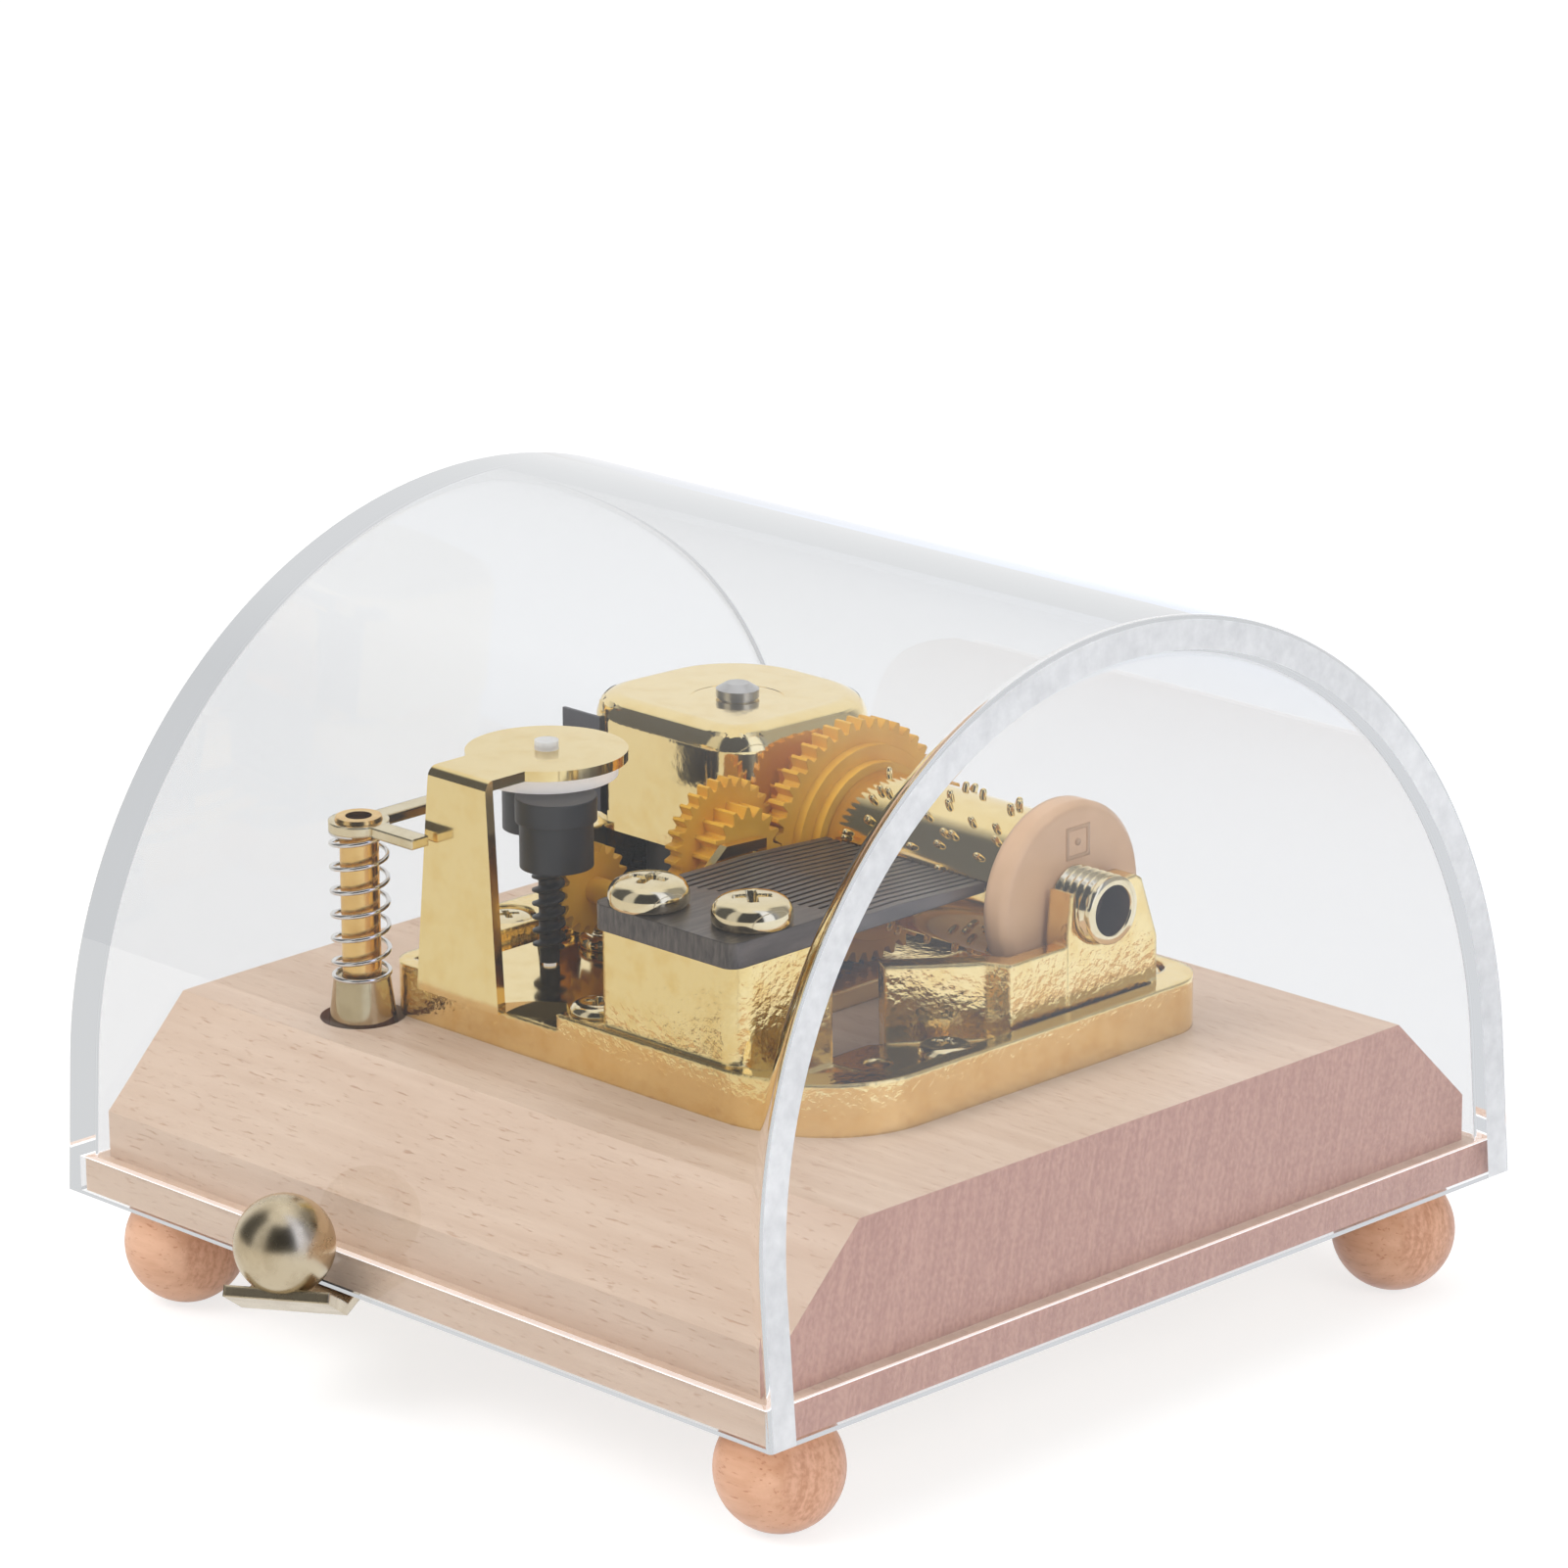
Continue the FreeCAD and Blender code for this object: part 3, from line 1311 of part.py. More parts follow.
fly = new_body("governor_fly")
fly_height = nylon_low - fly_low - 0.2
collar(fly, "XY", fly_low, fly_height, fly_hub)
for side in (-1, 1):
    lobe = sketch_on(fly, "XY", fly_low)
    ring(lobe, lobe_reach * side, 0, lobe_radius - 0.3)
    pad(fly, lobe, fly_height)
    lip = sketch_on(fly, "XY", fly_low + fly_height * 0.66)
    ring(lip, lobe_reach * side, 0, lobe_radius)
    pad(fly, lip, fly_height * 0.34)
fly_web = sketch_on(fly, "XY", fly_low + fly_height * 0.3)
block(fly_web, -lobe_reach, lobe_reach, -1, 1)
pad(fly, fly_web, fly_height * 0.4)
bore(fly, "XY", fly_low - 1, fly_height + 2, pin_bore)
place(fly, governor_x, governor_y, 0, Z_UP, lobe_turn)
keep(fly, "governor_fly")

nylon = turned(
    "governor_disc",
    [
        (train_pin + run_gap, nylon_low),
        (nylon_radius, nylon_low),
        (nylon_radius, nylon_low + nylon_thick),
        (boss_radius, nylon_low + nylon_thick),
        (boss_radius, bracket_top + 0.7),
        (0, bracket_top + 0.7),
        (0, bracket_top + 0.2),
        (train_pin + run_gap, bracket_top + 0.2),
    ],
)
place(nylon, governor_x, governor_y)

# Governor bracket: one bent sheet with a foot plate, the upright and its round top, a cheek and
# two tabs for the train's arbors.
bracket = new_body("governor_bracket")
bracket_low = deck + platform_height
bracket_front = -plate_front - sheet_thick
upright_right = governor_x + 4.5
foot_plate = sketch_on(bracket, "XY", bracket_low)
foot_back = second_y + 4.2
tab_back = first_y + 1.1
plate_rim_in = -plate_front + rim_thick + 0.1
outline(
    foot_plate,
    [
        (bracket_left, bracket_front),
        (upright_right, bracket_front),
        (upright_right, -plate_front),
        (upright_right + 1.4, plate_rim_in + 0.2),
        (cheek_x - 4.3, plate_rim_in + 1.5),
        (cheek_x - 2.2, plate_rim_in),
        (ear_side, plate_rim_in),
        (ear_side, plate_rim_in + 3.2),
        (cheek_out, plate_rim_in + 4),
        (cheek_out, tab_back),
        (tab_in, tab_back),
        (tab_in, foot_back),
        (bracket_left, foot_back),
    ],
)
pad(bracket, foot_plate, sheet_thick)
standing = sketch_on(bracket, "XZ", plate_front)
outline(
    standing,
    [
        (bracket_left, bracket_low),
        (upright_right, bracket_low),
        (governor_x + 3.4, bracket_top),
        (governor_x - 3.1, bracket_top),
    ],
)
pad(bracket, standing, sheet_thick)
neck = sketch_on(bracket, "XY", bracket_top - sheet_thick)
block(neck, governor_x - 3.1, governor_x + 3.4, bracket_front, governor_y)
pad(bracket, neck, sheet_thick)
top_disc = sketch_on(bracket, "XY", bracket_top - sheet_thick)
ring(top_disc, governor_x, governor_y, bracket_disc)
pad(bracket, top_disc, sheet_thick)
cheek = sketch_on(bracket, "YZ", cheek_x)
outline(
    cheek,
    [
        (plate_rim_in + 3.4, bracket_low),
        (tab_back, bracket_low),
        (tab_back, first_z + 1.3),
        (first_y - 3.2, first_z + 1.5),
        (second_y + 0.6, first_z),
        (second_y - 1.7, second_z + 2.1),
        (second_y - 2.9, second_z + 0.2),
        (second_y - 3.9, second_z - 1.8),
        (second_y - 6.1, bracket_low + 2.4),
        (plate_rim_in + 3.4, bracket_low + 1.2),
    ],
)
pad(bracket, cheek, sheet_thick)
near_tab = sketch_on(bracket, "YZ", tab_in)
outline(
    near_tab,
    [
        (first_y - 1.3, bracket_low),
        (tab_back, bracket_low),
        (tab_back, first_z + 1.4),
        (tab_back - 0.6, first_z + 2.1),
        (first_y - 0.7, first_z + 2.1),
        (first_y - 1.3, first_z + 1.4),
    ],
)
pad(bracket, near_tab, sheet_thick)
left_tab = sketch_on(bracket, "YZ", far_tab)
outline(
    left_tab,
    [
        (second_y - 2.2, bracket_low),
        (second_y + 2.2, bracket_low),
        (second_y + 1.2, second_z + 1.6),
        (second_y - 1.2, second_z + 1.6),
    ],
)
pad(bracket, left_tab, sheet_thick)
first_hole = sketch_on(bracket, "YZ", tab_in - 1)
ring(first_hole, first_y, first_z, train_pin + run_gap)
pocket(bracket, first_hole, cheek_out - tab_in + 2, up=True)
second_hole = sketch_on(bracket, "YZ", far_tab - 1)
ring(second_hole, second_y, second_z, train_pin + run_gap)
pocket(bracket, second_hole, cheek_out - far_tab + 2, up=True)
disc_hole = sketch_on(bracket, "XY", bracket_top)
ring(disc_hole, governor_x, governor_y, boss_radius + seat_gap)
pocket(bracket, disc_hole, sheet_thick + 1)
pin_hole = sketch_on(bracket, "XY", plate_top)
ring(pin_hole, governor_x, governor_y, train_pin + 0.3)
for x, y in bracket_screws_at:
    ring(pin_hole, x, y, small_screw_radius + run_gap)
pocket(bracket, pin_hole, sheet_thick)
keep(bracket, "governor_bracket")

# Stop gear: a guide cup in the base, the tube that turns in it, its spring, fork and lever.
cup_low = deck - cup_sink
cup_high = deck + 3.3
stop_cup = turned(
    "stop_cup",
    [
        (stop_radius + run_gap, cup_low),
        (cup_radius, cup_low),
        (cup_radius, cup_low + 0.8),
        (cup_radius * 0.93, cup_low + 1),
        (coil_radius + wire_radius, cup_high),
        (stop_radius + run_gap, cup_high),
    ],
)
place(stop_cup, stop_x, stop_y)
lever_low = foot_height - 1.5
lever_reach = (arch_radius + lever_overhang + stop_y) / sine(-lever_turn)
stop_bore = stop_radius - 0.5
roll = stop_radius + 0.35
stop_tube = turned(
    "stop_tube",
    [
        (stop_bore, lever_low - 0.4),
        (roll, lever_low - 0.4),
        (roll, lever_low - seat_gap),
        (stop_radius, lever_low - seat_gap),
        (stop_radius, fork_top + seat_gap),
        (roll, fork_top + seat_gap),
        (roll - 0.1, fork_top + 0.3),
        (stop_bore, fork_top + 0.3),
    ],
)
place(stop_tube, stop_x, stop_y)

fork = new_body("stop_fork")
arms = sketch_on(fork, "XY", fork_bottom)
half_arm = fork_width / 2
outline(
    arms,
    [
        (-half_arm, -half_arm),
        (fork_front, -half_arm),
        (fork_front, half_arm),
        (half_arm + 1.2, half_arm),
        (half_arm, half_arm + 1.2),
        (half_arm, fork_back),
        (-half_arm, fork_back),
    ],
)
pad(fork, arms, sheet_thick)
collar(fork, "XY", fork_bottom, sheet_thick, 2.4)
bore(fork, "XY", fork_bottom - 1, sheet_thick + 2, stop_radius + seat_gap)
place(fork, stop_x, stop_y)
keep(fork, "stop_fork")

lever = new_body("stop_lever")
lever_side = sketch_on(lever, "XZ")
lip_cos = math.cos(math.radians(lip_rise.value))
lip_sin = math.sin(math.radians(lip_rise.value))
lip_tip = lever_reach + lip_length * lip_cos
lip_top = lever_low + lip_length * lip_sin
lever_tail = -lever_width / 2 - 0.3
bend_in = lever_reach - lever_thick * math.tan(math.radians(lip_rise.value / 2))
outline(
    lever_side,
    [
        (lever_tail, lever_low),
        (lever_reach, lever_low),
        (lip_tip, lip_top),
        (lip_tip - lever_thick * lip_sin, lip_top + lever_thick * lip_cos),
        (bend_in, lever_low + lever_thick),
        (lever_tail, lever_low + lever_thick),
    ],
)
lever_pad = pad(lever, lever_side, lever_width, both=True)
lever_half = lever_width / 2


def tail_corner(edge):
    box = edge.BoundBox
    return box.XMax < val(lever_tail) + 0.01 and box.YLength < 0.01


round_off(lever, lever_pad, tail_corner, lever_half - 0.4)
bore(lever, "XY", lever_low - 1, lever_thick + 2, stop_radius + seat_gap)
place(lever, stop_x, stop_y, 0, Z_UP, lever_turn)
keep(lever, "stop_lever")

ball = new_body("lever_ball")
ball_sketch = sketch_on(ball, "XZ")
ball_seat = root(ball_radius * ball_radius - ball_flat * ball_flat)
sphere = Part.Circle(V(), Z_UP, ball_radius.value)
below = math.atan2(-ball_flat.value, ball_seat.value)
ball_sketch.addGeometry(Part.ArcOfCircle(sphere, below, math.pi / 2), False)
ball_sketch.addGeometry(Part.LineSegment(V(0, ball_radius.value, 0), V(0, -ball_flat.value, 0)), False)
ball_sketch.addGeometry(Part.LineSegment(V(0, -ball_flat.value, 0), V(ball_seat.value, -ball_flat.value, 0)), False)
for joint in ((0, 2, 1, 1), (1, 2, 2, 1), (2, 2, 0, 1)):
    ball_sketch.addConstraint(Sketcher.Constraint("Coincident", *joint))
locate(ball_sketch, 0, 3, 0, 0)
fix(ball_sketch, "Radius", (0,), ball_radius)
locate(ball_sketch, 2, 1, 0, -ball_flat)
fix(ball_sketch, "DistanceY", (-1, 1, 2, 2), -ball_flat)
fix(ball_sketch, "DistanceX", (-1, 1, 0, 2), 0)
turn(ball, ball_sketch)
place(ball)
lean_back = FreeCAD.Rotation(V(0, 1, 0), -lip_rise.value)
lever_way = FreeCAD.Rotation(Z_UP, lever_turn.value)
ball_out = lever_reach - lever_thick * lip_sin + ball_place * lip_cos - ball_flat * lip_sin
ball_up = lever_low + lever_thick * lip_cos + ball_place * lip_sin + ball_flat * lip_cos
way_x = math.cos(math.radians(lever_turn.value))
way_y = math.sin(math.radians(lever_turn.value))
place(ball, stop_x + ball_out * way_x, stop_y + ball_out * way_y, ball_up)
ball.Placement = FreeCAD.Placement(ball.Placement.Base, lever_way.multiply(lean_back))
keep(ball, "lever_ball")


def bend(start, heading, end, heading_out):
    """Two arcs from start to end that keep both headings."""
    span = end - start
    both = heading + heading_out
    spread = 2 * (1 - heading.dot(heading_out))
    along = span.dot(both)
    if spread < 1e-9:
        reach = span.dot(span) / (2 * along)
    else:
        reach = (math.sqrt(along * along + spread * span.dot(span)) - along) / spread
    before = start + heading * reach
    after = end - heading_out * reach
    join = (before + after) * 0.5
    return [quick_arc(start, before, join), quick_arc(join, after, end)]


def quick_arc(start, corner_point, end):
    """The arc from start to end whose end tangents meet at the corner point."""
    middle = (start + end) * 0.5
    rise = corner_point - middle
    if rise.Length < 1e-6:
        return Part.LineSegment(start, end).toShape()
    half_chord = (end - start).Length / 2
    sagitta = half_chord * math.tan(math.atan2(rise.Length, half_chord) / 2)
    return Part.Arc(start, middle + rise * (sagitta / rise.Length), end).toShape()


def coil_path(bottom, top):
    """A straight end, a small quarter bend, the turns, and the same again at the top."""
    radius = coil_radius.value
    foot_bend = wire_radius.value * 2.5
    straight = wire_radius.value * 2
    quarters = int(coil_turns.value * 4)
    low = bottom + straight + foot_bend
    high = top - straight - foot_bend
    closed = end_pitch.value / 4
    open_step = (high - low - 8 * closed) / (quarters - 8)
    heights = [low]
    for i in range(quarters):
        near_end = i < 4 or i >= quarters - 4
        heights.append(heights[-1] + (closed if near_end else open_step))
    nodes = []
    for i, height in enumerate(heights):
        angle = math.pi / 2 * i
        point = V(radius * math.cos(angle), radius * math.sin(angle), height)
        if i in (0, quarters):
            slope = 0
        else:
            slope = (heights[i + 1] - heights[i - 1]) / (math.pi * radius)
        heading = V(-math.sin(angle), math.cos(angle), slope).normalize()
        nodes.append((point, heading))
    first_point, first_heading = nodes[0]
    last_point, last_heading = nodes[-1]
    low_end = first_point - first_heading * foot_bend - V(0, 0, foot_bend)
    high_end = last_point + last_heading * foot_bend + V(0, 0, foot_bend)
    edges = [Part.LineSegment(low_end - V(0, 0, straight), low_end).toShape()]
    edges.append(quick_arc(low_end, low_end + V(0, 0, foot_bend), first_point))
    for (point, heading), (after, heading_out) in zip(nodes, nodes[1:]):
        edges += bend(point, heading, after, heading_out)
    edges.append(quick_arc(last_point, high_end - V(0, 0, foot_bend), high_end))
    edges.append(Part.LineSegment(high_end, high_end + V(0, 0, straight)).toShape())
    return Part.Wire(edges)


def least_gap(path, thickness):
    """Smallest space between two stretches of the path, less its thickness, on points."""
    points = path.discretize(Number=600)
    step = path.Length / 599
    skip = int(3 * thickness / step) + 1
    nearest = min(
        points[i].distanceToPoint(points[j])
        for i in range(len(points))
        for j in range(i + skip, len(points))
    )
    return nearest - thickness


spring_low = cup_high + seat_gap
spring_high = fork_bottom - seat_gap * 2
spring_path = coil_path(spring_low.value, spring_high.value)
start_point = spring_path.Vertexes[0].Point
wire_end = Part.Wire(Part.makeCircle(wire_radius.value, start_point, Z_UP))
stop_spring = doc.addObject("Part::Feature", "stop_spring")
stop_spring.Shape = spring_path.makePipeShell([wire_end], True, False)
place(stop_spring, stop_x, stop_y)
keep(stop_spring, "stop_spring")
print("least gap of the spring to itself", round(least_gap(spring_path, wire_radius.value * 2), 3))

# Check every object, then write one file for each sub-part.
doc.recompute()
for thing in doc.Objects:
    if "Invalid" in thing.State or "Error" in thing.State:
        raise RuntimeError(f"{thing.Label} did not compute")
os.makedirs("parts", exist_ok=True)
for part in parts:
    if part.Shape.isNull() or not part.Shape.isValid():
        raise RuntimeError(f"{part.Label} has no valid shape")
    part.Shape.exportStep(f"parts/{part.Label}.step")
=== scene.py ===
# A wind-up music box under a clear arched cover: the looks of each piece, in metres, in the frame
# of its solids.
import math

import bmesh
import bpy
from mathutils import Matrix, Vector


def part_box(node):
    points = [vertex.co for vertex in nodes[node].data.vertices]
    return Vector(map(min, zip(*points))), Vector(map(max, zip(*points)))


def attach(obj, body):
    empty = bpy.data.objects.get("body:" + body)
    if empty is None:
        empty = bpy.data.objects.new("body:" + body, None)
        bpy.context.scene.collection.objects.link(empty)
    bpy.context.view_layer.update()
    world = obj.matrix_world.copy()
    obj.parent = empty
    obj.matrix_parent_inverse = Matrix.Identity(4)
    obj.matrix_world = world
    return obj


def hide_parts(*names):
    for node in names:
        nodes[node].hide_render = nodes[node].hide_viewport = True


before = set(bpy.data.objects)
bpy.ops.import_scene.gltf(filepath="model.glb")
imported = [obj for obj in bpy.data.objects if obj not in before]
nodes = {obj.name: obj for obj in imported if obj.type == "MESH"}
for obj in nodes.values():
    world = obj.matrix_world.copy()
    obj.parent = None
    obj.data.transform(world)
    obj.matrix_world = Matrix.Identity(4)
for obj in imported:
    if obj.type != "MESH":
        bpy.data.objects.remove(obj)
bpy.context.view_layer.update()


# Wooden base. One block of pale beech, planed, with a bevel at the front and back, a thin flange
# round the foot of it for the cover to drop over, and clear satin lacquer. The grain runs along the
# box, so both end faces show pinker end grain with faint saw marks.
def effect(name, inputs, outputs):
    """A shader node group with named inputs and outputs."""
    group = bpy.data.node_groups.new(name, "ShaderNodeTree")
    for label, kind, value in inputs:
        made = group.interface.new_socket(label, in_out="INPUT", socket_type=kind)
        made.default_value = value
    for label, kind in outputs:
        group.interface.new_socket(label, in_out="OUTPUT", socket_type=kind)
    return group, group.nodes.new("NodeGroupInput"), group.nodes.new("NodeGroupOutput")


def add(tree, kind, inputs=None, **settings):
    """One shader node, its sockets set to values or joined to other sockets."""
    made = tree.nodes.new(kind)
    for key, value in settings.items():
        setattr(made, key, value)
    for key, value in (inputs or {}).items():
        if isinstance(value, bpy.types.NodeSocket):
            tree.links.new(value, made.inputs[key])
        else:
            made.inputs[key].default_value = value
    return made


def maths(tree, operation, a, b=0.0, clamp=False):
    return add(tree, "ShaderNodeMath", {0: a, 1: b}, operation=operation, use_clamp=clamp).outputs[0]


def weighed(tree, a, share, b):
    """A share of a, and the rest of b."""
    part = maths(tree, "MULTIPLY", a, share)
    return maths(tree, "ADD", part, maths(tree, "MULTIPLY", b, 1 - share))


def blend(tree, how_much, a, b, way="MIX"):
    made = add(tree, "ShaderNodeMix", {0: how_much, 6: a, 7: b}, data_type="RGBA", blend_type=way)
    return made.outputs[2]


def stretched_noise(tree, place, scale, detail=3.0, rough=0.55):
    """Noise drawn out along one axis."""
    moved = add(tree, "ShaderNodeMapping", {"Vector": place, "Scale": scale})
    noise = add(
        tree,
        "ShaderNodeTexNoise",
        {"Vector": moved.outputs[0], "Scale": 1.0, "Detail": detail, "Roughness": rough},
    )
    return noise.outputs[0]


def stepped(tree, value, low, high, to_low=0.0, to_high=1.0):
    made = add(
        tree,
        "ShaderNodeMapRange",
        {"Value": value, "From Min": low, "From Max": high, "To Min": to_low, "To Max": to_high},
    )
    return made.outputs[0]


grain, given, result = effect(
    "wood_grain",
    [
        ("Place", "NodeSocketVector", (0, 0, 0)),
        ("End", "NodeSocketFloat", 0.0),
        ("Pale", "NodeSocketColor", (1, 1, 1, 1)),
        ("Deep", "NodeSocketColor", (0, 0, 0, 1)),
        ("End pale", "NodeSocketColor", (1, 1, 1, 1)),
        ("End deep", "NodeSocketColor", (0, 0, 0, 1)),
        ("Fleck", "NodeSocketFloat", 0.25),
    ],
    [("Color", "NodeSocketColor"), ("Height", "NodeSocketFloat")],
)
place = given.outputs["Place"]
streak = stretched_noise(grain, place, (45, 700, 700), 5.0, 0.62)
cloud = stretched_noise(grain, place, (14, 45, 45), 2.0)
fleck = stretched_noise(grain, place, (650, 4200, 4200), 2.0)
fleck_mask = stepped(grain, fleck, 0.60, 0.72)
tone = stepped(grain, weighed(grain, streak, 0.6, cloud), 0.36, 0.64)
side = blend(grain, tone, given.outputs["Pale"], given.outputs["Deep"])
flecked = maths(grain, "MULTIPLY", fleck_mask, given.outputs["Fleck"])
side = blend(grain, flecked, side, given.outputs["Deep"], "MULTIPLY")
saw_way = add(grain, "ShaderNodeMapping", {"Vector": place, "Rotation": (0.22, 0, 0)}).outputs[0]
saw = stretched_noise(grain, saw_way, (300, 1700, 90), 4.0, 0.7)
pores = stretched_noise(grain, place, (900, 3200, 2400), 2.0)
end_tone = stepped(grain, weighed(grain, saw, 0.5, pores), 0.40, 0.60)
end = blend(grain, end_tone, given.outputs["End pale"], given.outputs["End deep"])
cut_across = stepped(grain, given.outputs["End"], 0.70, 0.80)
grain.links.new(blend(grain, cut_across, side, end), result.inputs["Color"])
pit = maths(grain, "MULTIPLY", fleck_mask, -0.6)
grain.links.new(maths(grain, "ADD", tone, pit), result.inputs["Height"])


def material(name, **shader):
    """A material with one Principled shader, and the sockets that most finishes start from."""
    made = bpy.data.materials.new(name)
    made.use_nodes = True
    tree = made.node_tree
    surface = tree.nodes["Principled BSDF"]
    for key, value in shader.items():
        surface.inputs[key.replace("_", " ")].default_value = value
    where = add(tree, "ShaderNodeTexCoord")
    return made, tree, surface, where


def raised(tree, surface, height, depth, rounding=0.0):
    """Relief on a surface, and where a rounding is given, light that rolls over its edges."""
    bump = add(tree, "ShaderNodeBump", {"Height": height, "Distance": depth})
    if rounding:
        rolled = add(tree, "ShaderNodeBevel", {"Radius": rounding}, samples=8)
        tree.links.new(rolled.outputs[0], bump.inputs["Normal"])
    tree.links.new(bump.outputs[0], surface.inputs["Normal"])


def wood(name, pale, deep, end_pale, end_deep, fleck):
    made, tree, surface, where = material(
        name, Roughness=0.48, Coat_Weight=0.12, Coat_Roughness=0.3
    )
    facing = add(tree, "ShaderNodeSeparateXYZ", {0: where.outputs["Normal"]})
    look = add(
        tree,
        "ShaderNodeGroup",
        {
            "Place": where.outputs["Object"],
            "End": maths(tree, "ABSOLUTE", facing.outputs[0]),
            "Pale": (*pale, 1),
            "Deep": (*deep, 1),
            "End pale": (*end_pale, 1),
            "End deep": (*end_deep, 1),
            "Fleck": fleck,
        },
        node_tree=grain,
    )
    tree.links.new(look.outputs["Color"], surface.inputs["Base Color"])
    raised(tree, surface, look.outputs["Height"], 0.00004)
    return made


def finish(look, *names):
    """Gives solids carried over from the frame their finish."""
    for name in names:
        for spot in nodes[name].material_slots:
            spot.material = look


base_wood = wood(
    "base_wood",
    pale=(0.77, 0.585, 0.445),
    deep=(0.655, 0.460, 0.330),
    end_pale=(0.64, 0.352, 0.270),
    end_deep=(0.50, 0.248, 0.185),
    fleck=0.60,
)
finish(base_wood, "base")


# Ball feet. Four turned beech balls, a little more orange than the base, with small pores that
# show as dark flecks, glued into it by tenons.
foot_wood = wood(
    "foot_wood",
    pale=(0.79, 0.475, 0.315),
    deep=(0.60, 0.305, 0.175),
    end_pale=(0.72, 0.405, 0.265),
    end_deep=(0.54, 0.265, 0.150),
    fleck=0.50,
)
finish(foot_wood, "foot_front_left", "foot_front_right", "foot_back_left", "foot_back_right")


# Bedplate. One zinc casting, gold plated: bright on its flats, with a pebbly skin on the sides where
# the mould's surface shows through the plating.
plate_skin, given, result = effect(
    "plate_skin",
    [
        ("Place", "NodeSocketVector", (0, 0, 0)),
        ("Gold", "NodeSocketColor", (1, 1, 1, 1)),
        ("Worn", "NodeSocketColor", (1, 1, 1, 1)),
        ("Pebbles", "NodeSocketFloat", 0.5),
        ("Polish", "NodeSocketFloat", 0.1),
    ],
    [("Color", "NodeSocketColor"), ("Roughness", "NodeSocketFloat"), ("Height", "NodeSocketFloat")],
)
place = given.outputs["Place"]
pebble = stretched_noise(plate_skin, place, (1500, 1500, 1500), 3.0, 0.5)
swell = stretched_noise(plate_skin, place, (170, 170, 170), 1.0, 0.4)
rub = stretched_noise(plate_skin, place, (420, 420, 420), 4.0, 0.6)
rubbed = stepped(plate_skin, rub, 0.45, 0.75)
metal = blend(plate_skin, rubbed, given.outputs["Gold"], given.outputs["Worn"])
plate_skin.links.new(metal, result.inputs["Color"])
dulled = maths(plate_skin, "MULTIPLY", rub, 0.10)
dulled = maths(plate_skin, "ADD", given.outputs["Polish"], dulled)
plate_skin.links.new(dulled, result.inputs["Roughness"])
pebbled = maths(plate_skin, "MULTIPLY", pebble, given.outputs["Pebbles"])
plate_skin.links.new(maths(plate_skin, "ADD", pebbled, swell), result.inputs["Height"])


def plated(name, gold, worn, pebbles=0.05, polish=0.07, depth=0.00002, rounding=0.0):
    """A plated metal: polish is its least roughness, depth the height of its relief."""
    made, tree, surface, where = material(name, Metallic=1.0)
    skin = add(
        tree,
        "ShaderNodeGroup",
        {
            "Place": where.outputs["Object"],
            "Gold": (*gold, 1),
            "Worn": (*worn, 1),
            "Pebbles": pebbles,
            "Polish": polish,
        },
        node_tree=plate_skin,
    )
    tree.links.new(skin.outputs["Color"], surface.inputs["Base Color"])
    tree.links.new(skin.outputs["Roughness"], surface.inputs["Roughness"])
    raised(tree, surface, skin.outputs["Height"], depth, rounding)
    return made


cast_gold = plated(
    "cast_gold",
    gold=(0.98, 0.77, 0.36),
    worn=(0.92, 0.66, 0.24),
    pebbles=0.80,
    depth=0.00010,
    rounding=0.0005,
)
finish(cast_gold, "bedplate")


# Governor's bracket. One strip of brass sheet, plated and mirror bright, bent so that its front
# leg stands on the bedplate and its round top bears the governor. The bend is rounded outside.
bright_gold = (0.98, 0.78, 0.38)
worn_gold = (0.94, 0.71, 0.30)
bend_radius = 0.0009
top_sheet_low = 0.0450
level_within = 1e-5


def mesh_object(name, bm, smooth_below=30):
    """An object from a bmesh, smooth except over edges sharper than the angle."""
    bmesh.ops.recalc_face_normals(bm, faces=bm.faces)
    limit = math.radians(smooth_below)
    for face in bm.faces:
        face.smooth = True
    for edge in bm.edges:
        if len(edge.link_faces) == 2 and edge.calc_face_angle() > limit:
            edge.smooth = False
    mesh = bpy.data.meshes.new(name)
    bm.to_mesh(mesh)
    bm.free()
    made = bpy.data.objects.new(name, mesh)
    bpy.context.scene.collection.objects.link(made)
    return made


def flat_faces_stay_flat(piece):
    weighting = piece.modifiers.new("flat faces stay flat", "WEIGHTED_NORMAL")
    weighting.keep_sharp = True


def stands_in(piece, look, body, node):
    """Gives a piece its finish and body, and hides the solid that it stands for."""
    piece.data.materials.clear()
    piece.data.materials.append(look)
    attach(piece, body)
    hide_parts(node)


def softened(node, radius, chosen_edge):
    """A solid's own shape with the chosen edges rounded."""
    bm = bmesh.new()
    bm.from_mesh(nodes[node].data)
    bmesh.ops.remove_doubles(bm, verts=bm.verts, dist=2e-6)
    bmesh.ops.dissolve_limit(bm, angle_limit=math.radians(1), verts=bm.verts, edges=bm.edges)
    bmesh.ops.bevel(
        bm,
        geom=[e for e in bm.edges if len(e.link_faces) == 2 and chosen_edge(e)],
        offset=radius,
        segments=5,
        profile=0.5,
        affect="EDGES",
        clamp_overlap=False,
    )
    bmesh.ops.remove_doubles(bm, verts=bm.verts, dist=1e-6)
    bmesh.ops.dissolve_degenerate(bm, dist=1e-6, edges=bm.edges)
    made = mesh_object(node + "_rounded", bm, 32)
    flat_faces_stay_flat(made)
    return made


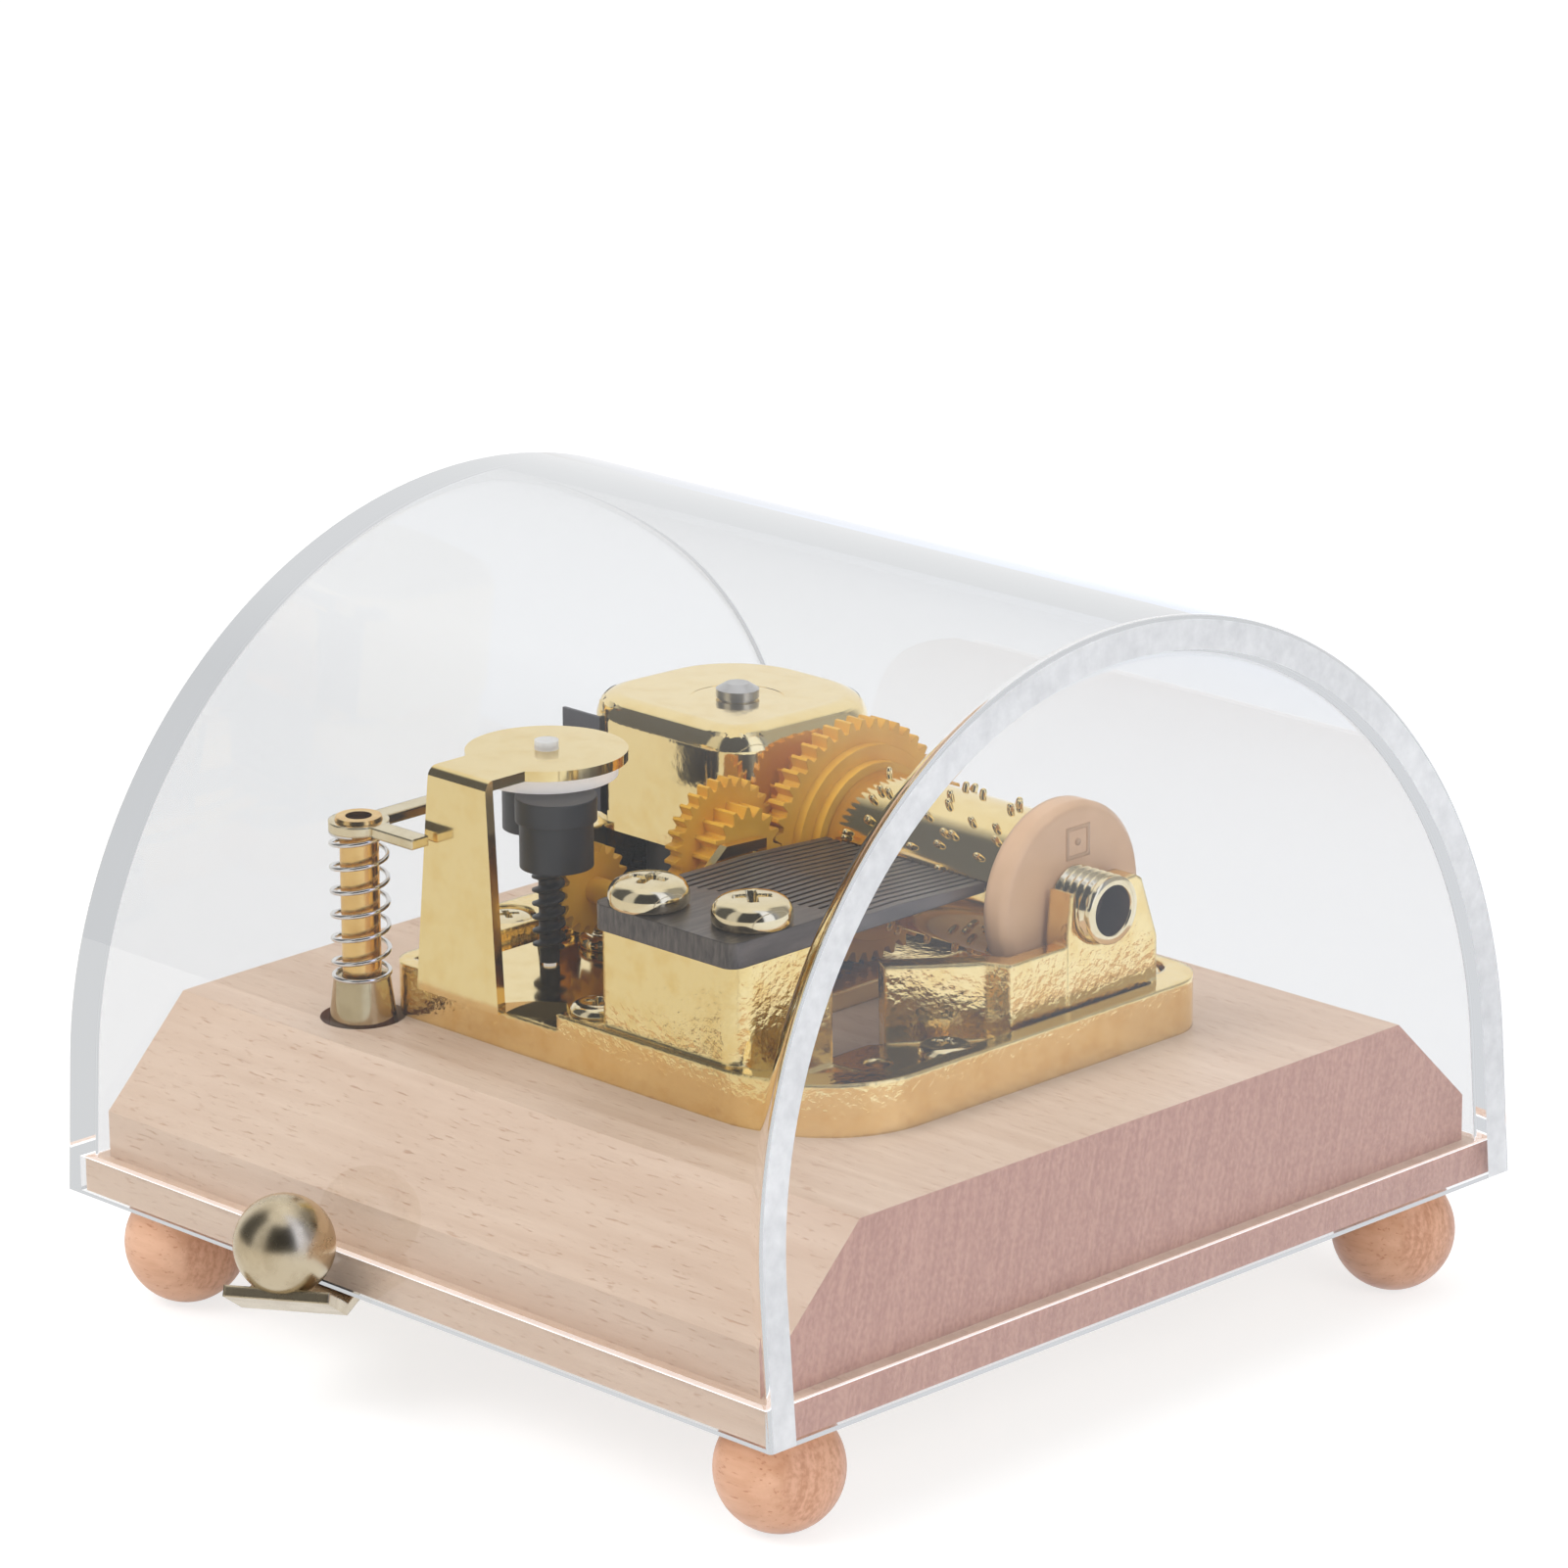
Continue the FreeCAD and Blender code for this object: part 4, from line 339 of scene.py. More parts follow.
def outer_bend(edge):
    """The edge where the bracket's front sheet turns into its top."""
    one, two = (v.co for v in edge.verts)
    sharp = abs(edge.calc_face_angle_signed()) > math.radians(50)
    high = min(one.z, two.z) > top_sheet_low and abs(one.z - two.z) < level_within
    along = abs(one.y - two.y) < 2e-4 and abs(one.x - two.x) > 0.004
    return sharp and high and along


sheet_gold = plated(
    "sheet_gold", bright_gold, worn_gold, pebbles=0.02, polish=0.05, depth=0.00003
)
bracket = softened("governor_bracket", bend_radius, outer_bend)
stands_in(bracket, sheet_gold, "case", "governor_bracket")


# Spring housing. A deep cup pressed from brass sheet and plated, its top rim rounded by the press,
# with a low raised ring round the hole for the arbor. The sheet's own skin shows a little.
rim_radius = 0.0009
rim_low = 0.0435
flat_reach = 0.006
ring_outer = 0.0042
ring_inner = 0.0035
ring_top = 0.04517
within_ring = 0.04508
sheet_low = 0.0449
sheet_high = 0.0451


def middle_of(node):
    low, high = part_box(node)
    return [(a + b) / 2 for a, b in zip(low, high)]


arbor_x, arbor_y, _ = middle_of("winding_arbor")


def from_arbor(point):
    return math.hypot(point.x - arbor_x, point.y - arbor_y)


def top_rim(edge):
    """An edge round the top of the housing, away from the ring about its arbor."""
    one, two = (v.co for v in edge.verts)
    level = abs(one.z - two.z) < level_within and one.z > rim_low
    return level and edge.calc_face_angle() > 0.3 and from_arbor(one) > flat_reach


pressed_gold = plated(
    "pressed_gold", bright_gold, worn_gold, pebbles=0.30, polish=0.05, depth=0.00005
)
housing = softened("spring_housing", rim_radius, top_rim)
for vert in housing.data.vertices:
    if from_arbor(vert.co) < ring_outer and sheet_low < vert.co.z < sheet_high:
        vert.co.z = ring_top if from_arbor(vert.co) > ring_inner else within_ring
stands_in(housing, pressed_gold, "case", "spring_housing")


# Pinned cylinder. A brass tube, plated, with a row of short studs for each tooth of the comb. Each
# stud is driven in from the outside and left a little proud, its end rounded.
teeth = 18
drum_radius = 0.006
drum_chamfer = 0.00015
drum_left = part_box("drum")[0][0]
drum_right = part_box("drum")[1][0]
_, drum_y, drum_z = middle_of("end_disc")
comb_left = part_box("comb")[0][0]
tooth_pitch = (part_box("comb")[1][0] - comb_left) / teeth
golden_share = 0.381966
stud_sides = 10
stud = [
    (0, -0.0002),
    (0.00030, -0.0002),
    (0.00029, 0.0003),
    (0.00024, 0.00052),
    (0.00013, 0.00062),
    (0, 0.00064),
]


def skin(bm, one, two):
    """Faces between two rings of points, either of which may be a single point."""
    count = max(len(one), len(two))
    for i in range(count):
        j = (i + 1) % count
        corners = [one[i % len(one)], one[j % len(one)], two[j % len(two)], two[i % len(two)]]
        corners = list(dict.fromkeys(corners))
        if len(corners) > 2:
            bm.faces.new(corners)


def turned(bm, profile, steps, along, centre, wave=None):
    """Skin of a turned piece, from (radius, height) pairs. Its axis runs up, or along the box. A
    wave moves each point in or out."""
    part = bmesh.new()
    rings = []
    for radius, height in profile:
        if radius <= 0:
            rings.append([part.verts.new((0, 0, height))])
            continue
        ring = []
        for i in range(steps):
            angle = 2 * math.pi * i / steps
            reach = radius + (wave(angle, radius, height) if wave else 0)
            ring.append(part.verts.new((reach * math.cos(angle), reach * math.sin(angle), height)))
        rings.append(ring)
    for one, two in zip(rings, rings[1:]):
        skin(part, one, two)
    for vert in part.verts:
        x, y, z = vert.co
        vert.co = Vector((z, x, y) if along == "X" else (x, y, z)) + Vector(centre)
    mesh = bpy.data.meshes.new("turned")
    part.to_mesh(mesh)
    part.free()
    bm.from_mesh(mesh)
    bpy.data.meshes.remove(mesh)


bm = bmesh.new()
drum_skin = [
    (0, drum_left),
    (drum_radius - drum_chamfer, drum_left),
    (drum_radius, drum_left + drum_chamfer),
    (drum_radius, drum_right - drum_chamfer),
    (drum_radius - drum_chamfer, drum_right),
    (0, drum_right),
]
turned(bm, drum_skin, 96, "X", (0, drum_y, drum_z))
for row in range(teeth):
    notes = 4 + (row * 5) % 4
    for note in range(notes):
        share = (row * golden_share + note / notes + 0.07 * ((row * note) % 4)) % 1
        angle = 2 * math.pi * share
        out = Vector((0, -math.sin(angle), math.cos(angle)))
        side = Vector((0, out.z, -out.y))
        seat = Vector((comb_left + tooth_pitch * (row + 0.5), drum_y, drum_z)) + out * drum_radius
        rings = []
        for radius, height in stud:
            ring = []
            for i in range(stud_sides if radius else 1):
                turn = 2 * math.pi * i / stud_sides
                across = Vector((radius * math.cos(turn), 0, 0))
                ring.append(bm.verts.new(seat + out * height + across + side * radius * math.sin(turn)))
            rings.append(ring)
        for one, two in zip(rings, rings[1:]):
            skin(bm, one, two)
drum = mesh_object("pinned_cylinder", bm, 40)
stands_in(drum, sheet_gold, "cylinder", "drum")


# Stop lever. A bent brass strip under the base with a solid ball for the finger, both satin from
# handling. It turns a copper-coloured tube that stands in a turned cup, and the fork on top of the
# tube reaches the governor's fly.
edged_brass = plated(
    "edged_brass", (0.82, 0.71, 0.48), (0.72, 0.60, 0.36), polish=0.09, rounding=0.0003
)
copper_brass = plated(
    "copper_brass", (0.92, 0.62, 0.24), (0.78, 0.47, 0.15), pebbles=0.02, polish=0.16
)
satin_brass = plated(
    "satin_brass",
    (0.60, 0.51, 0.36),
    (0.47, 0.385, 0.255),
    pebbles=0.25,
    polish=0.22,
    rounding=0.0003,
)
cup_brass = plated("cup_brass", (0.56, 0.46, 0.28), (0.46, 0.36, 0.20), polish=0.06)
finish(edged_brass, "stop_fork")
finish(satin_brass, "stop_lever")
finish(cup_brass, "stop_cup")
finish(copper_brass, "stop_tube")
low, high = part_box("lever_ball")
ball_radius = (high[0] - low[0]) / 2
slices = 48
half_circle = [(0, -ball_radius)]
for i in range(1, slices):
    turn = math.pi * i / slices
    half_circle.append((ball_radius * math.sin(turn), -ball_radius * math.cos(turn)))
half_circle.append((0, ball_radius))
bm = bmesh.new()
turned(bm, half_circle, 64, "Z", middle_of("lever_ball"))
knob = mesh_object("lever_knob", bm, 60)
stands_in(knob, satin_brass, "stop_lever", "lever_ball")


# Screws. Pan heads with a crossed recess, plated a paler brass: two large ones hold the comb to its
# pedestal, two small ones the bracket to the bedplate, and three hold the bedplate to the base.
pale_brass = plated("pale_brass", (0.89, 0.76, 0.49), (0.79, 0.65, 0.37))
screw_sides = 80
crown_rings = 36


def circle(bm, radius, height):
    turns = [2 * math.pi * i / screw_sides for i in range(screw_sides)]
    return [bm.verts.new((radius * math.cos(t), radius * math.sin(t), height)) for t in turns]


def crossed_screw(bm, place, turn, head, height, shank, length):
    """A pan head screw with a crossed recess, its seat at the place."""
    arm = head * 0.44
    half = head * 0.10
    depth = height * 0.55
    cosine, sine = math.cos(turn), math.sin(turn)

    def crown_level(x, y):
        """The head's height: a low dome, less the cross that is struck into it."""
        reach = math.hypot(x, y)
        share = reach / head
        u, v = abs(x * cosine + y * sine), abs(y * cosine - x * sine)
        sink = 0.0
        for long, wide in ((u, v), (v, u)):
            flare = half * (1.25 - 0.25 * long / arm)
            inside = min((flare - wide) / (half * 0.45), (arm - long) / (arm * 0.30))
            sink = max(sink, min(1.0, max(0.0, inside + 0.3)))
        dome = height * (1 - 0.09 * share**2 - 0.37 * share**8)
        return dome - depth * sink * (1 - 0.25 * max(0.0, 1 - reach / (half * 1.4)))

    rings = [[bm.verts.new((0, 0, 0))]]
    rings += [circle(bm, head * 0.9 * i / crown_rings, 0) for i in range(1, crown_rings + 1)]
    for ring in rings:
        for vert in ring:
            vert.co.z = crown_level(vert.co.x, vert.co.y)
    flank = [(0.94, 0.68), (0.97, 0.60), (0.99, 0.50), (1, 0.40), (1, 0.16), (0.97, 0.05), (0.93, 0)]
    rings += [circle(bm, head * share, height * level) for share, level in flank]
    rings.append(circle(bm, shank, 0.0))
    rings.append(circle(bm, shank, -length + shank * 0.4))
    rings.append(circle(bm, shank * 0.6, -length))
    rings.append([bm.verts.new((0, 0, -length))])
    for ring in rings:
        for vert in ring:
            vert.co += Vector(place)
    for one, two in zip(rings, rings[1:]):
        skin(bm, one, two)


def screws(name, node, places, **sizes):
    """One piece for like screws, from the place of each and the angle of its cross."""
    bm = bmesh.new()
    for *place, turn in places:
        crossed_screw(bm, place, math.radians(turn), **sizes)
    stands_in(mesh_object(name, bm, 38), pale_brass, "case", node)


screws(
    "comb_pan_screws",
    "comb_screws",
    [(0.00625, -0.0153, 0.0382, 20), (0.0152, -0.0131, 0.0382, 50)],
    head=0.00315,
    height=0.0021,
    shank=0.0015,
    length=0.007,
)
screws(
    "bracket_pan_screws",
    "bracket_screws",
    [(-0.00005, -0.0149, 0.0278, 35), (-0.0123, -0.00267, 0.0278, 10)],
    head=0.00215,
    height=0.0012,
    shank=0.0009,
    length=0.0024,
)
screws(
    "wood_pan_screws",
    "wood_screws",
    [(0.0227, -0.0018, 0.027, 15), (-0.0229, -0.0035, 0.027, 60), (0.0209, 0.0214, 0.027, 0)],
    head=0.00215,
    height=0.0012,
    shank=0.001,
    length=0.009,
)


# Cylinder's tube. A short threaded tube at the bearing end of the arbor, cut with a fine thread and
# bored out, and lying in the post's saddle. The arbor itself runs on to the spring's housing.
arbor_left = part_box("cylinder_arbor")[0][0]
pivot_radius = 0.0008
pivot_end = -0.0038
shaft_radius = 0.0012
tube_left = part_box("end_disc")[1][0] + 0.00002
tube_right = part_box("cylinder_arbor")[1][0]
tube_radius = 0.0028
bore_radius = 0.00195
thread_pitch = 0.00072
thread_depth = 0.00030
thread_rings = 65
ring_gap = 0.00006


def thread(angle, radius, height):
    if radius < tube_radius - 0.00001 or height > tube_right - 0.0003:
        return 0.0
    swing = (height / thread_pitch - angle / (2 * math.pi)) % 1.0
    return -thread_depth * abs(2 * swing - 1)


profile = [
    (0, arbor_left),
    (pivot_radius, arbor_left),
    (pivot_radius, pivot_end),
    (shaft_radius, pivot_end),
    (shaft_radius, tube_left),
    (tube_radius - 0.0002, tube_left),
]
profile += [(tube_radius, tube_left + ring_gap * i) for i in range(1, thread_rings + 1)]
profile += [
    (tube_radius - 0.00008, tube_right - 0.0001),
    (tube_radius - 0.0002, tube_right),
    (bore_radius + 0.0001, tube_right),
    (bore_radius, tube_right - 0.00012),
    (bore_radius, tube_right - 0.003),
    (0, tube_right - 0.0036),
]
bm = bmesh.new()
turned(bm, profile, 72, "X", (0, drum_y, drum_z), thread)
tube = mesh_object("threaded_tube", bm, 45)
stands_in(tube, pale_brass, "cylinder", "cylinder_arbor")
# The inside of the bore is painted dark brown: painted shade for the shadow down the hole.
bore_painted_shade = plated("bore_painted_shade", (0.16, 0.10, 0.07), (0.10, 0.06, 0.04), pebbles=0.2, polish=0.35)
tube.data.materials.append(bore_painted_shade)
for face in tube.data.polygons:
    x, y, z = face.center
    if x > tube_right - 0.0040 and math.hypot(y - drum_y, z - drum_z) < bore_radius + 0.00002:
        face.material_index = 1


# Comb. One plate of hardened steel, its teeth cut by a thin wheel, ground flat so that fine
# lines run along them, then oiled dark grey.
comb_steel, tree, surface, where = material("comb_steel", Metallic=0.8, Roughness=0.32)
ground = stretched_noise(tree, where.outputs["Object"], (3200, 160, 800), 3.0)
ground_mask = stepped(tree, ground, 0.35, 0.65)
shade = blend(tree, ground_mask, (0.095, 0.086, 0.082, 1), (0.170, 0.148, 0.135, 1))
tree.links.new(shade, surface.inputs["Base Color"])
raised(tree, surface, ground, 0.000006, 0.00015)
finish(comb_steel, "comb")


# Winding arbor, ratchet wheel and key, of bright turned steel, and the mainspring, a wound strip of
# blued steel that lies inside the housing.
def steel(name, light, dark, roughness):
    made, tree, surface, where = material(name, Metallic=1.0, Roughness=roughness)
    ground = stretched_noise(tree, where.outputs["Object"], (900, 900, 240), 3.0)
    tree.links.new(blend(tree, ground, (*light, 1), (*dark, 1)), surface.inputs["Base Color"])
    raised(tree, surface, ground, 0.000015)
    return made


bright_steel = steel("bright_steel", (0.62, 0.61, 0.60), (0.44, 0.43, 0.43), 0.28)
blued_steel = steel("blued_steel", (0.14, 0.14, 0.16), (0.07, 0.07, 0.08), 0.4)
finish(bright_steel, "winding_arbor", "winding_key", "ratchet_wheel")
finish(blued_steel, "mainspring")


# Stop's spring. Thin bright wire, wound in seven and a half turns between the cup and the fork, its
# two end turns closed up against them.
spring_wire = steel("spring_wire", (0.90, 0.88, 0.86), (0.72, 0.70, 0.68), 0.16)
turns = 7.5
end_turns = 0.8
end_rise = 0.0003
first_angle = 2.2
coil_low = 0.02755
coil_high = 0.03885
coil_radius = 0.00222
steps_round = 28
stop_x, stop_y, _ = middle_of("stop_tube")
wire = bpy.data.curves.new("stop_coil", "CURVE")
wire.dimensions = "3D"
wire.bevel_depth = 0.00019
wire.bevel_resolution = 3
wire.use_fill_caps = True
run = wire.splines.new("POLY")
count = int(turns * steps_round) + 1
run.points.add(count - 1)
for i in range(count):
    turn = turns * i / (count - 1)
    angle = 2 * math.pi * turn + first_angle
    open_turns = turns - 2 * end_turns
    open_share = min(max((turn - end_turns) / open_turns, 0.0), 1.0)
    closed_turns = turn - end_turns - open_turns * open_share
    height = coil_low + (coil_high - coil_low) * open_share + end_rise * closed_turns
    x = stop_x + coil_radius * math.cos(angle)
    y = stop_y + coil_radius * math.sin(angle)
    run.points[i].co = (x, y, height, 1)
coil = bpy.data.objects.new("stop_coil", wire)
bpy.context.scene.collection.objects.link(coil)
stands_in(coil, spring_wire, "case", "stop_spring")


# Wheels of the train, and the cylinder's own wheels. Moulded in matt amber plastic, a little uneven
# in colour, with edges rounded by the mould, and pressed on to plated arbors.
def moulded(name, light, dark, roughness, specular=0.5, rounding=0.0):
    made, tree, surface, where = material(
        name, Roughness=roughness, Specular_IOR_Level=specular
    )
    cloud = stretched_noise(tree, where.outputs["Object"], (260, 260, 260), 3.0)
    fine = stretched_noise(tree, where.outputs["Object"], (4200, 4200, 4200), 2.0)
    shade = blend(tree, stepped(tree, cloud, 0.35, 0.65), (*light, 1), (*dark, 1))
    tree.links.new(shade, surface.inputs["Base Color"])
    raised(tree, surface, fine, 0.00001, rounding)
    return made


amber = moulded(
    "amber_plastic",
    (0.81, 0.45, 0.045),
    (0.74, 0.37, 0.022),
    roughness=0.40,
    specular=0.3,
    rounding=0.00012,
)
finish(amber, "cylinder_gear", "drive_gear", "first_wheel", "second_wheel")
finish(sheet_gold, "first_arbor", "second_arbor")


# End disc of the cylinder. A thick disc moulded in tan plastic with a soft edge, and on its outer
# face a small square mould mark with a dot in the middle.
tan_plastic = moulded(
    "tan_plastic", (0.73, 0.475, 0.29), (0.665, 0.42, 0.245), roughness=0.38, rounding=0.0007
)
finish(tan_plastic, "end_disc")
mark_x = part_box("end_disc")[1][0]
mark_y = 0.01445
mark_z = 0.04012
mark_root = -0.0001
mark_height = 0.00008
ridge = [
    (0.00135, mark_root),
    (0.0013, mark_height),
    (0.0010, mark_height),
    (0.00095, mark_root),
]
dot = [(0, mark_root), (0.0003, mark_root), (0.00028, mark_height), (0, 0.0001)]
corners = [(-1, -1), (1, -1), (1, 1), (-1, 1)]
bm = bmesh.new()
rings = []
for half, proud in ridge:
    ring = [(mark_x + proud, mark_y + a * half, mark_z + b * half) for a, b in corners]
    rings.append([bm.verts.new(point) for point in ring])
for one, two in zip(rings, rings[1:] + rings[:1]):
    skin(bm, one, two)
turned(bm, dot, 24, "X", (mark_x, mark_y, mark_z))
mark = mesh_object("disc_mark", bm)
mark.data.materials.append(tan_plastic)
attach(mark, "cylinder")


# Great wheel on the housing, and the governor's air brake. Both are moulded in black plastic with a
# dull skin.
black_plastic = moulded(
    "black_plastic",
    (0.040, 0.040, 0.043),
    (0.027, 0.027, 0.030),
    roughness=0.42,
    rounding=0.0002,
)
finish(black_plastic, "great_wheel", "governor_fly")


# Governor's disc and pivot pin, of white nylon that lets a little light in. Both carry a painted glow,
# an emission that stands in for light coming out at the disc's edge under the bracket, and none where
# its hub stands clear above it.
hub_low = 0.0449
hub_high = 0.0453
painted_glow = 0.40
white_nylon = moulded("white_nylon", (0.86, 0.85, 0.84), (0.81, 0.80, 0.79), roughness=0.35)
tree = white_nylon.node_tree
surface = tree.nodes["Principled BSDF"]
surface.inputs["Subsurface Weight"].default_value = 0.8
surface.inputs["Subsurface Radius"].default_value = (0.003, 0.003, 0.003)
surface.inputs["Subsurface Scale"].default_value = 1.0
surface.inputs["Emission Color"].default_value = (1.0, 0.96, 0.95, 1)
where = add(tree, "ShaderNodeTexCoord").outputs["Object"]
height = add(tree, "ShaderNodeSeparateXYZ", {0: where}).outputs[2]
# Painted glow: emission strength full below the hub, fading to none above it.
painted_glow_by_height = stepped(tree, height, hub_low, hub_high, painted_glow, 0.0)
tree.links.new(painted_glow_by_height, surface.inputs["Emission Strength"])
finish(white_nylon, "governor_disc", "governor_pin")


# Governor's worm. A slim moulded screw under the fly, its thread a little over a millimetre in
# radius, that meshes with the second wheel and turns on the pin.
worm_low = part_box("governor_worm")[0][2]
worm_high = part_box("governor_worm")[1][2]
worm_core = 0.0008
worm_lead = 0.0011
worm_ridge = 0.00052
worm_slices = 110
worm_x, worm_y, _ = middle_of("governor_pin")


def worm_thread(angle, radius, height):
    if not worm_low + 0.0010 < height < worm_high - 0.0008:
        return 0.0
    swing = (height / worm_lead - angle / (2 * math.pi) + 0.35) % 1.0
    return worm_ridge * max(0.0, min(1.0, 1.5 - 2.72 * abs(2 * swing - 1)))


rise = [(worm_high - worm_low) * i / worm_slices for i in range(worm_slices + 1)]
profile = [(0, worm_low)] + [(worm_core, worm_low + up) for up in rise] + [(0, worm_high)]
bm = bmesh.new()
turned(bm, profile, 40, "Z", (worm_x, worm_y, 0), worm_thread)
worm = mesh_object("slim_worm", bm, 50)
stands_in(worm, black_plastic, "governor", "governor_worm")


# Cover. One moulding of clear acrylic: an arch on upright sides with two flat end walls that lean in
# a little, its outer edges rounded, and a rebate inside the rim that drops over the base's flange.
# The right end wall shows the cut edge of the arch as a band of painted light, pale grey with saw
# streaks, and the rebate a ledge with a painted glow.
cover_end = 0.040
cover_half = 0.0413
cover_foot = 0.0095
arch_centre = 0.0210
cover_back = 0.0044
end_lean = math.tan(math.radians(4))
wall = 0.0026
end_wall = 0.0016
rim = 0.0011
rebate_top = 0.0124
outer_rounding = 0.0003
inner_rounding = 0.0008
arch_steps = 96
side_steps = 6
edge_steps = 8
band_slot = 1
ledge_slot = 2


def arch_profile(half, foot):
    """Points of an arch, from one foot over the top to the other."""
    rise = [(arch_centre - foot) * i / side_steps for i in range(side_steps + 1)]
    made = [(-half, foot + up) for up in rise[:-1]]
    for i in range(arch_steps + 1):
        turn = math.pi - math.pi * i / arch_steps
        made.append((half * math.cos(turn), arch_centre + half * math.sin(turn)))
    return made + [(half, arch_centre - down) for down in rise[1:]]


def arch_shell(bm, half, end, foot, rounding, band=0.0):
    """An arch with two end walls, open at the foot, its end edges rounded, and where a band is given,
    a strip of that width round the right end wall. Gives the outline of its foot."""

    def arch(sign, inset, back):
        made = []
        for y, z in arch_profile(half - inset, foot):
            x = sign * (end - back - end_lean * (z - cover_foot))
            made.append(bm.verts.new((x, y + cover_back, z)))
        return made

    def strip(one, two, which=0):
        for i in range(len(one) - 1):
            face = bm.faces.new((one[i], one[i + 1], two[i + 1], two[i]))
            face.material_index = which

    turns = [math.pi / 2 * i / edge_steps for i in range(edge_steps + 1)]
    steps = [(rounding * (1 - math.sin(t)), rounding * (1 - math.cos(t))) for t in turns]
    arches = [arch(-1, *step) for step in steps] + [arch(1, *step) for step in reversed(steps)]
    for one, two in zip(arches, arches[1:]):
        strip(one, two)
    bm.faces.new(arches[0])
    band_foot = []
    if band:
        within = arch(1, band, 0)
        strip(arches[-1], within, band_slot)
        bm.faces.new(within)
        band_foot = [within[0], within[-1]]
    else:
        bm.faces.new(arches[-1])
    return [a[0] for a in arches] + band_foot + [a[-1] for a in reversed(arches)]


def rim_faces(bm, loop, square, which):
    """Flat faces between a rounded loop and the four corners of the square rebate."""
    nearest = [min(square, key=lambda corner: (corner.co - v.co).length) for v in loop]
    for i, one in enumerate(loop):
        two = loop[(i + 1) % len(loop)]
        ring = [one, two, nearest[(i + 1) % len(loop)], nearest[i]]
        face = bm.faces.new(ring[:3] if ring[2] is ring[3] else ring)
        face.material_index = which


bm = bmesh.new()
outer_foot = arch_shell(bm, cover_half, cover_end, cover_foot, outer_rounding, wall)
inner_foot = arch_shell(bm, cover_half - wall, cover_end - end_wall, rebate_top, inner_rounding)
rebate = []
for level in (cover_foot, rebate_top):
    places = [(x * (cover_end - rim), y * (cover_half - rim) + cover_back, level) for x, y in corners]
    rebate.append([bm.verts.new(place) for place in places])
skin(bm, *rebate)
rim_faces(bm, outer_foot, rebate[0], 0)
rim_faces(bm, inner_foot, rebate[1], ledge_slot)
cover = mesh_object("clear_cover", bm)
flat_faces_stay_flat(cover)


def rays(tree):
    """What a ray has come through, and whether a surface mirrors it without going through one."""
    path = add(tree, "ShaderNodeLightPath").outputs
    return path, maths(tree, "SUBTRACT", path["Is Glossy Ray"], path["Is Transmission Ray"], True)


def either_shader(tree, share, one, two):
    return add(tree, "ShaderNodeMixShader", {0: share, 1: one.outputs[0], 2: two.outputs[0]})


def to_surface(tree, shader):
    tree.links.new(shader.outputs[0], tree.nodes["Material Output"].inputs["Surface"])


# Light and what metal mirrors pass straight through the acrylic. What is still inside it after many
# mirrorings stands for light carried round the arch in the wall, painted as an even pale glow.
clear, tree, surface, where = material(
    "clear_acrylic",
    Base_Color=(0.875, 0.880, 0.886, 1),
    Roughness=0.0,
    IOR=1.49,
    Transmission_Weight=1.0,
)
path, mirrored = rays(tree)
passing = maths(tree, "MAXIMUM", path["Is Shadow Ray"], path["Is Diffuse Ray"])
passing = maths(tree, "MAXIMUM", passing, mirrored)
through = add(tree, "ShaderNodeBsdfTransparent", {"Color": (0.96, 0.96, 0.96, 1)})
within = maths(tree, "MODULO", path["Transmission Depth"], 2.0)
guided_painted_glow = add(tree, "ShaderNodeEmission", {"Color": (0.93, 0.95, 0.97, 1), "Strength": 0.72})
plain = either_shader(tree, passing, surface, through)
to_surface(tree, either_shader(tree, maths(tree, "MULTIPLY", mirrored, within), plain, guided_painted_glow))
cover.data.materials.append(clear)
# The band round the right end wall: painted light, pale grey for the light that the wall carries round
# the arch, with streaks like saw marks across it.
cut_edge_painted_light, tree, surface, where = material(
    "acrylic_cut_edge", Roughness=0.28, Specular_IOR_Level=0.4
)
streaks = stretched_noise(tree, where.outputs["Object"], (30, 60, 60), 4.0, 0.6)
fine = stretched_noise(tree, where.outputs["Object"], (260, 900, 900), 3.0)
sawn = stepped(tree, weighed(tree, streaks, 0.6, fine), 0.35, 0.65)
shade = blend(tree, sawn, (0.60, 0.61, 0.63, 1), (0.79, 0.80, 0.82, 1))
tree.links.new(shade, surface.inputs["Base Color"])
cover.data.materials.append(cut_edge_painted_light)
# The rebate's ledge: pale grey with a painted glow, an emission that stands in for the light it
# catches.
ledge_painted_glow, tree, surface, where = material(
    "acrylic_ledge_painted_glow",
    Base_Color=(0.85, 0.86, 0.87, 1),
    Roughness=0.3,
    Emission_Color=(0.95, 0.97, 1.0, 1),
    Emission_Strength=0.55,
)
cover.data.materials.append(ledge_painted_glow)
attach(cover, "cover")
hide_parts("cover")


# Floor. A wide sheet of white paper under the box. It looks white to the eye and through the cover,
# keeps the box's shadow, and polished metal mirrors it warm on the left and cool on the right.
bm = bmesh.new()
bmesh.ops.create_grid(bm, x_segments=1, y_segments=1, size=4.0)
floor = mesh_object("floor", bm)
paper, tree, surface, where = material(
    "white_paper", Base_Color=(0.88, 0.88, 0.88, 1), Roughness=0.9
)
path, mirrored = rays(tree)
seen = maths(tree, "MAXIMUM", path["Is Camera Ray"], path["Is Transmission Ray"])
lit = add(tree, "ShaderNodeEmission", {"Color": (1, 1, 1, 1), "Strength": 0.74})
shaded = add(tree, "ShaderNodeBsdfDiffuse", {"Color": (0.36, 0.36, 0.36, 1)})
bright = add(tree, "ShaderNodeAddShader", {0: lit.outputs[0], 1: shaded.outputs[0]})
plain = either_shader(tree, seen, surface, bright)
spot = add(tree, "ShaderNodeSeparateXYZ", {0: where.outputs["Object"]})
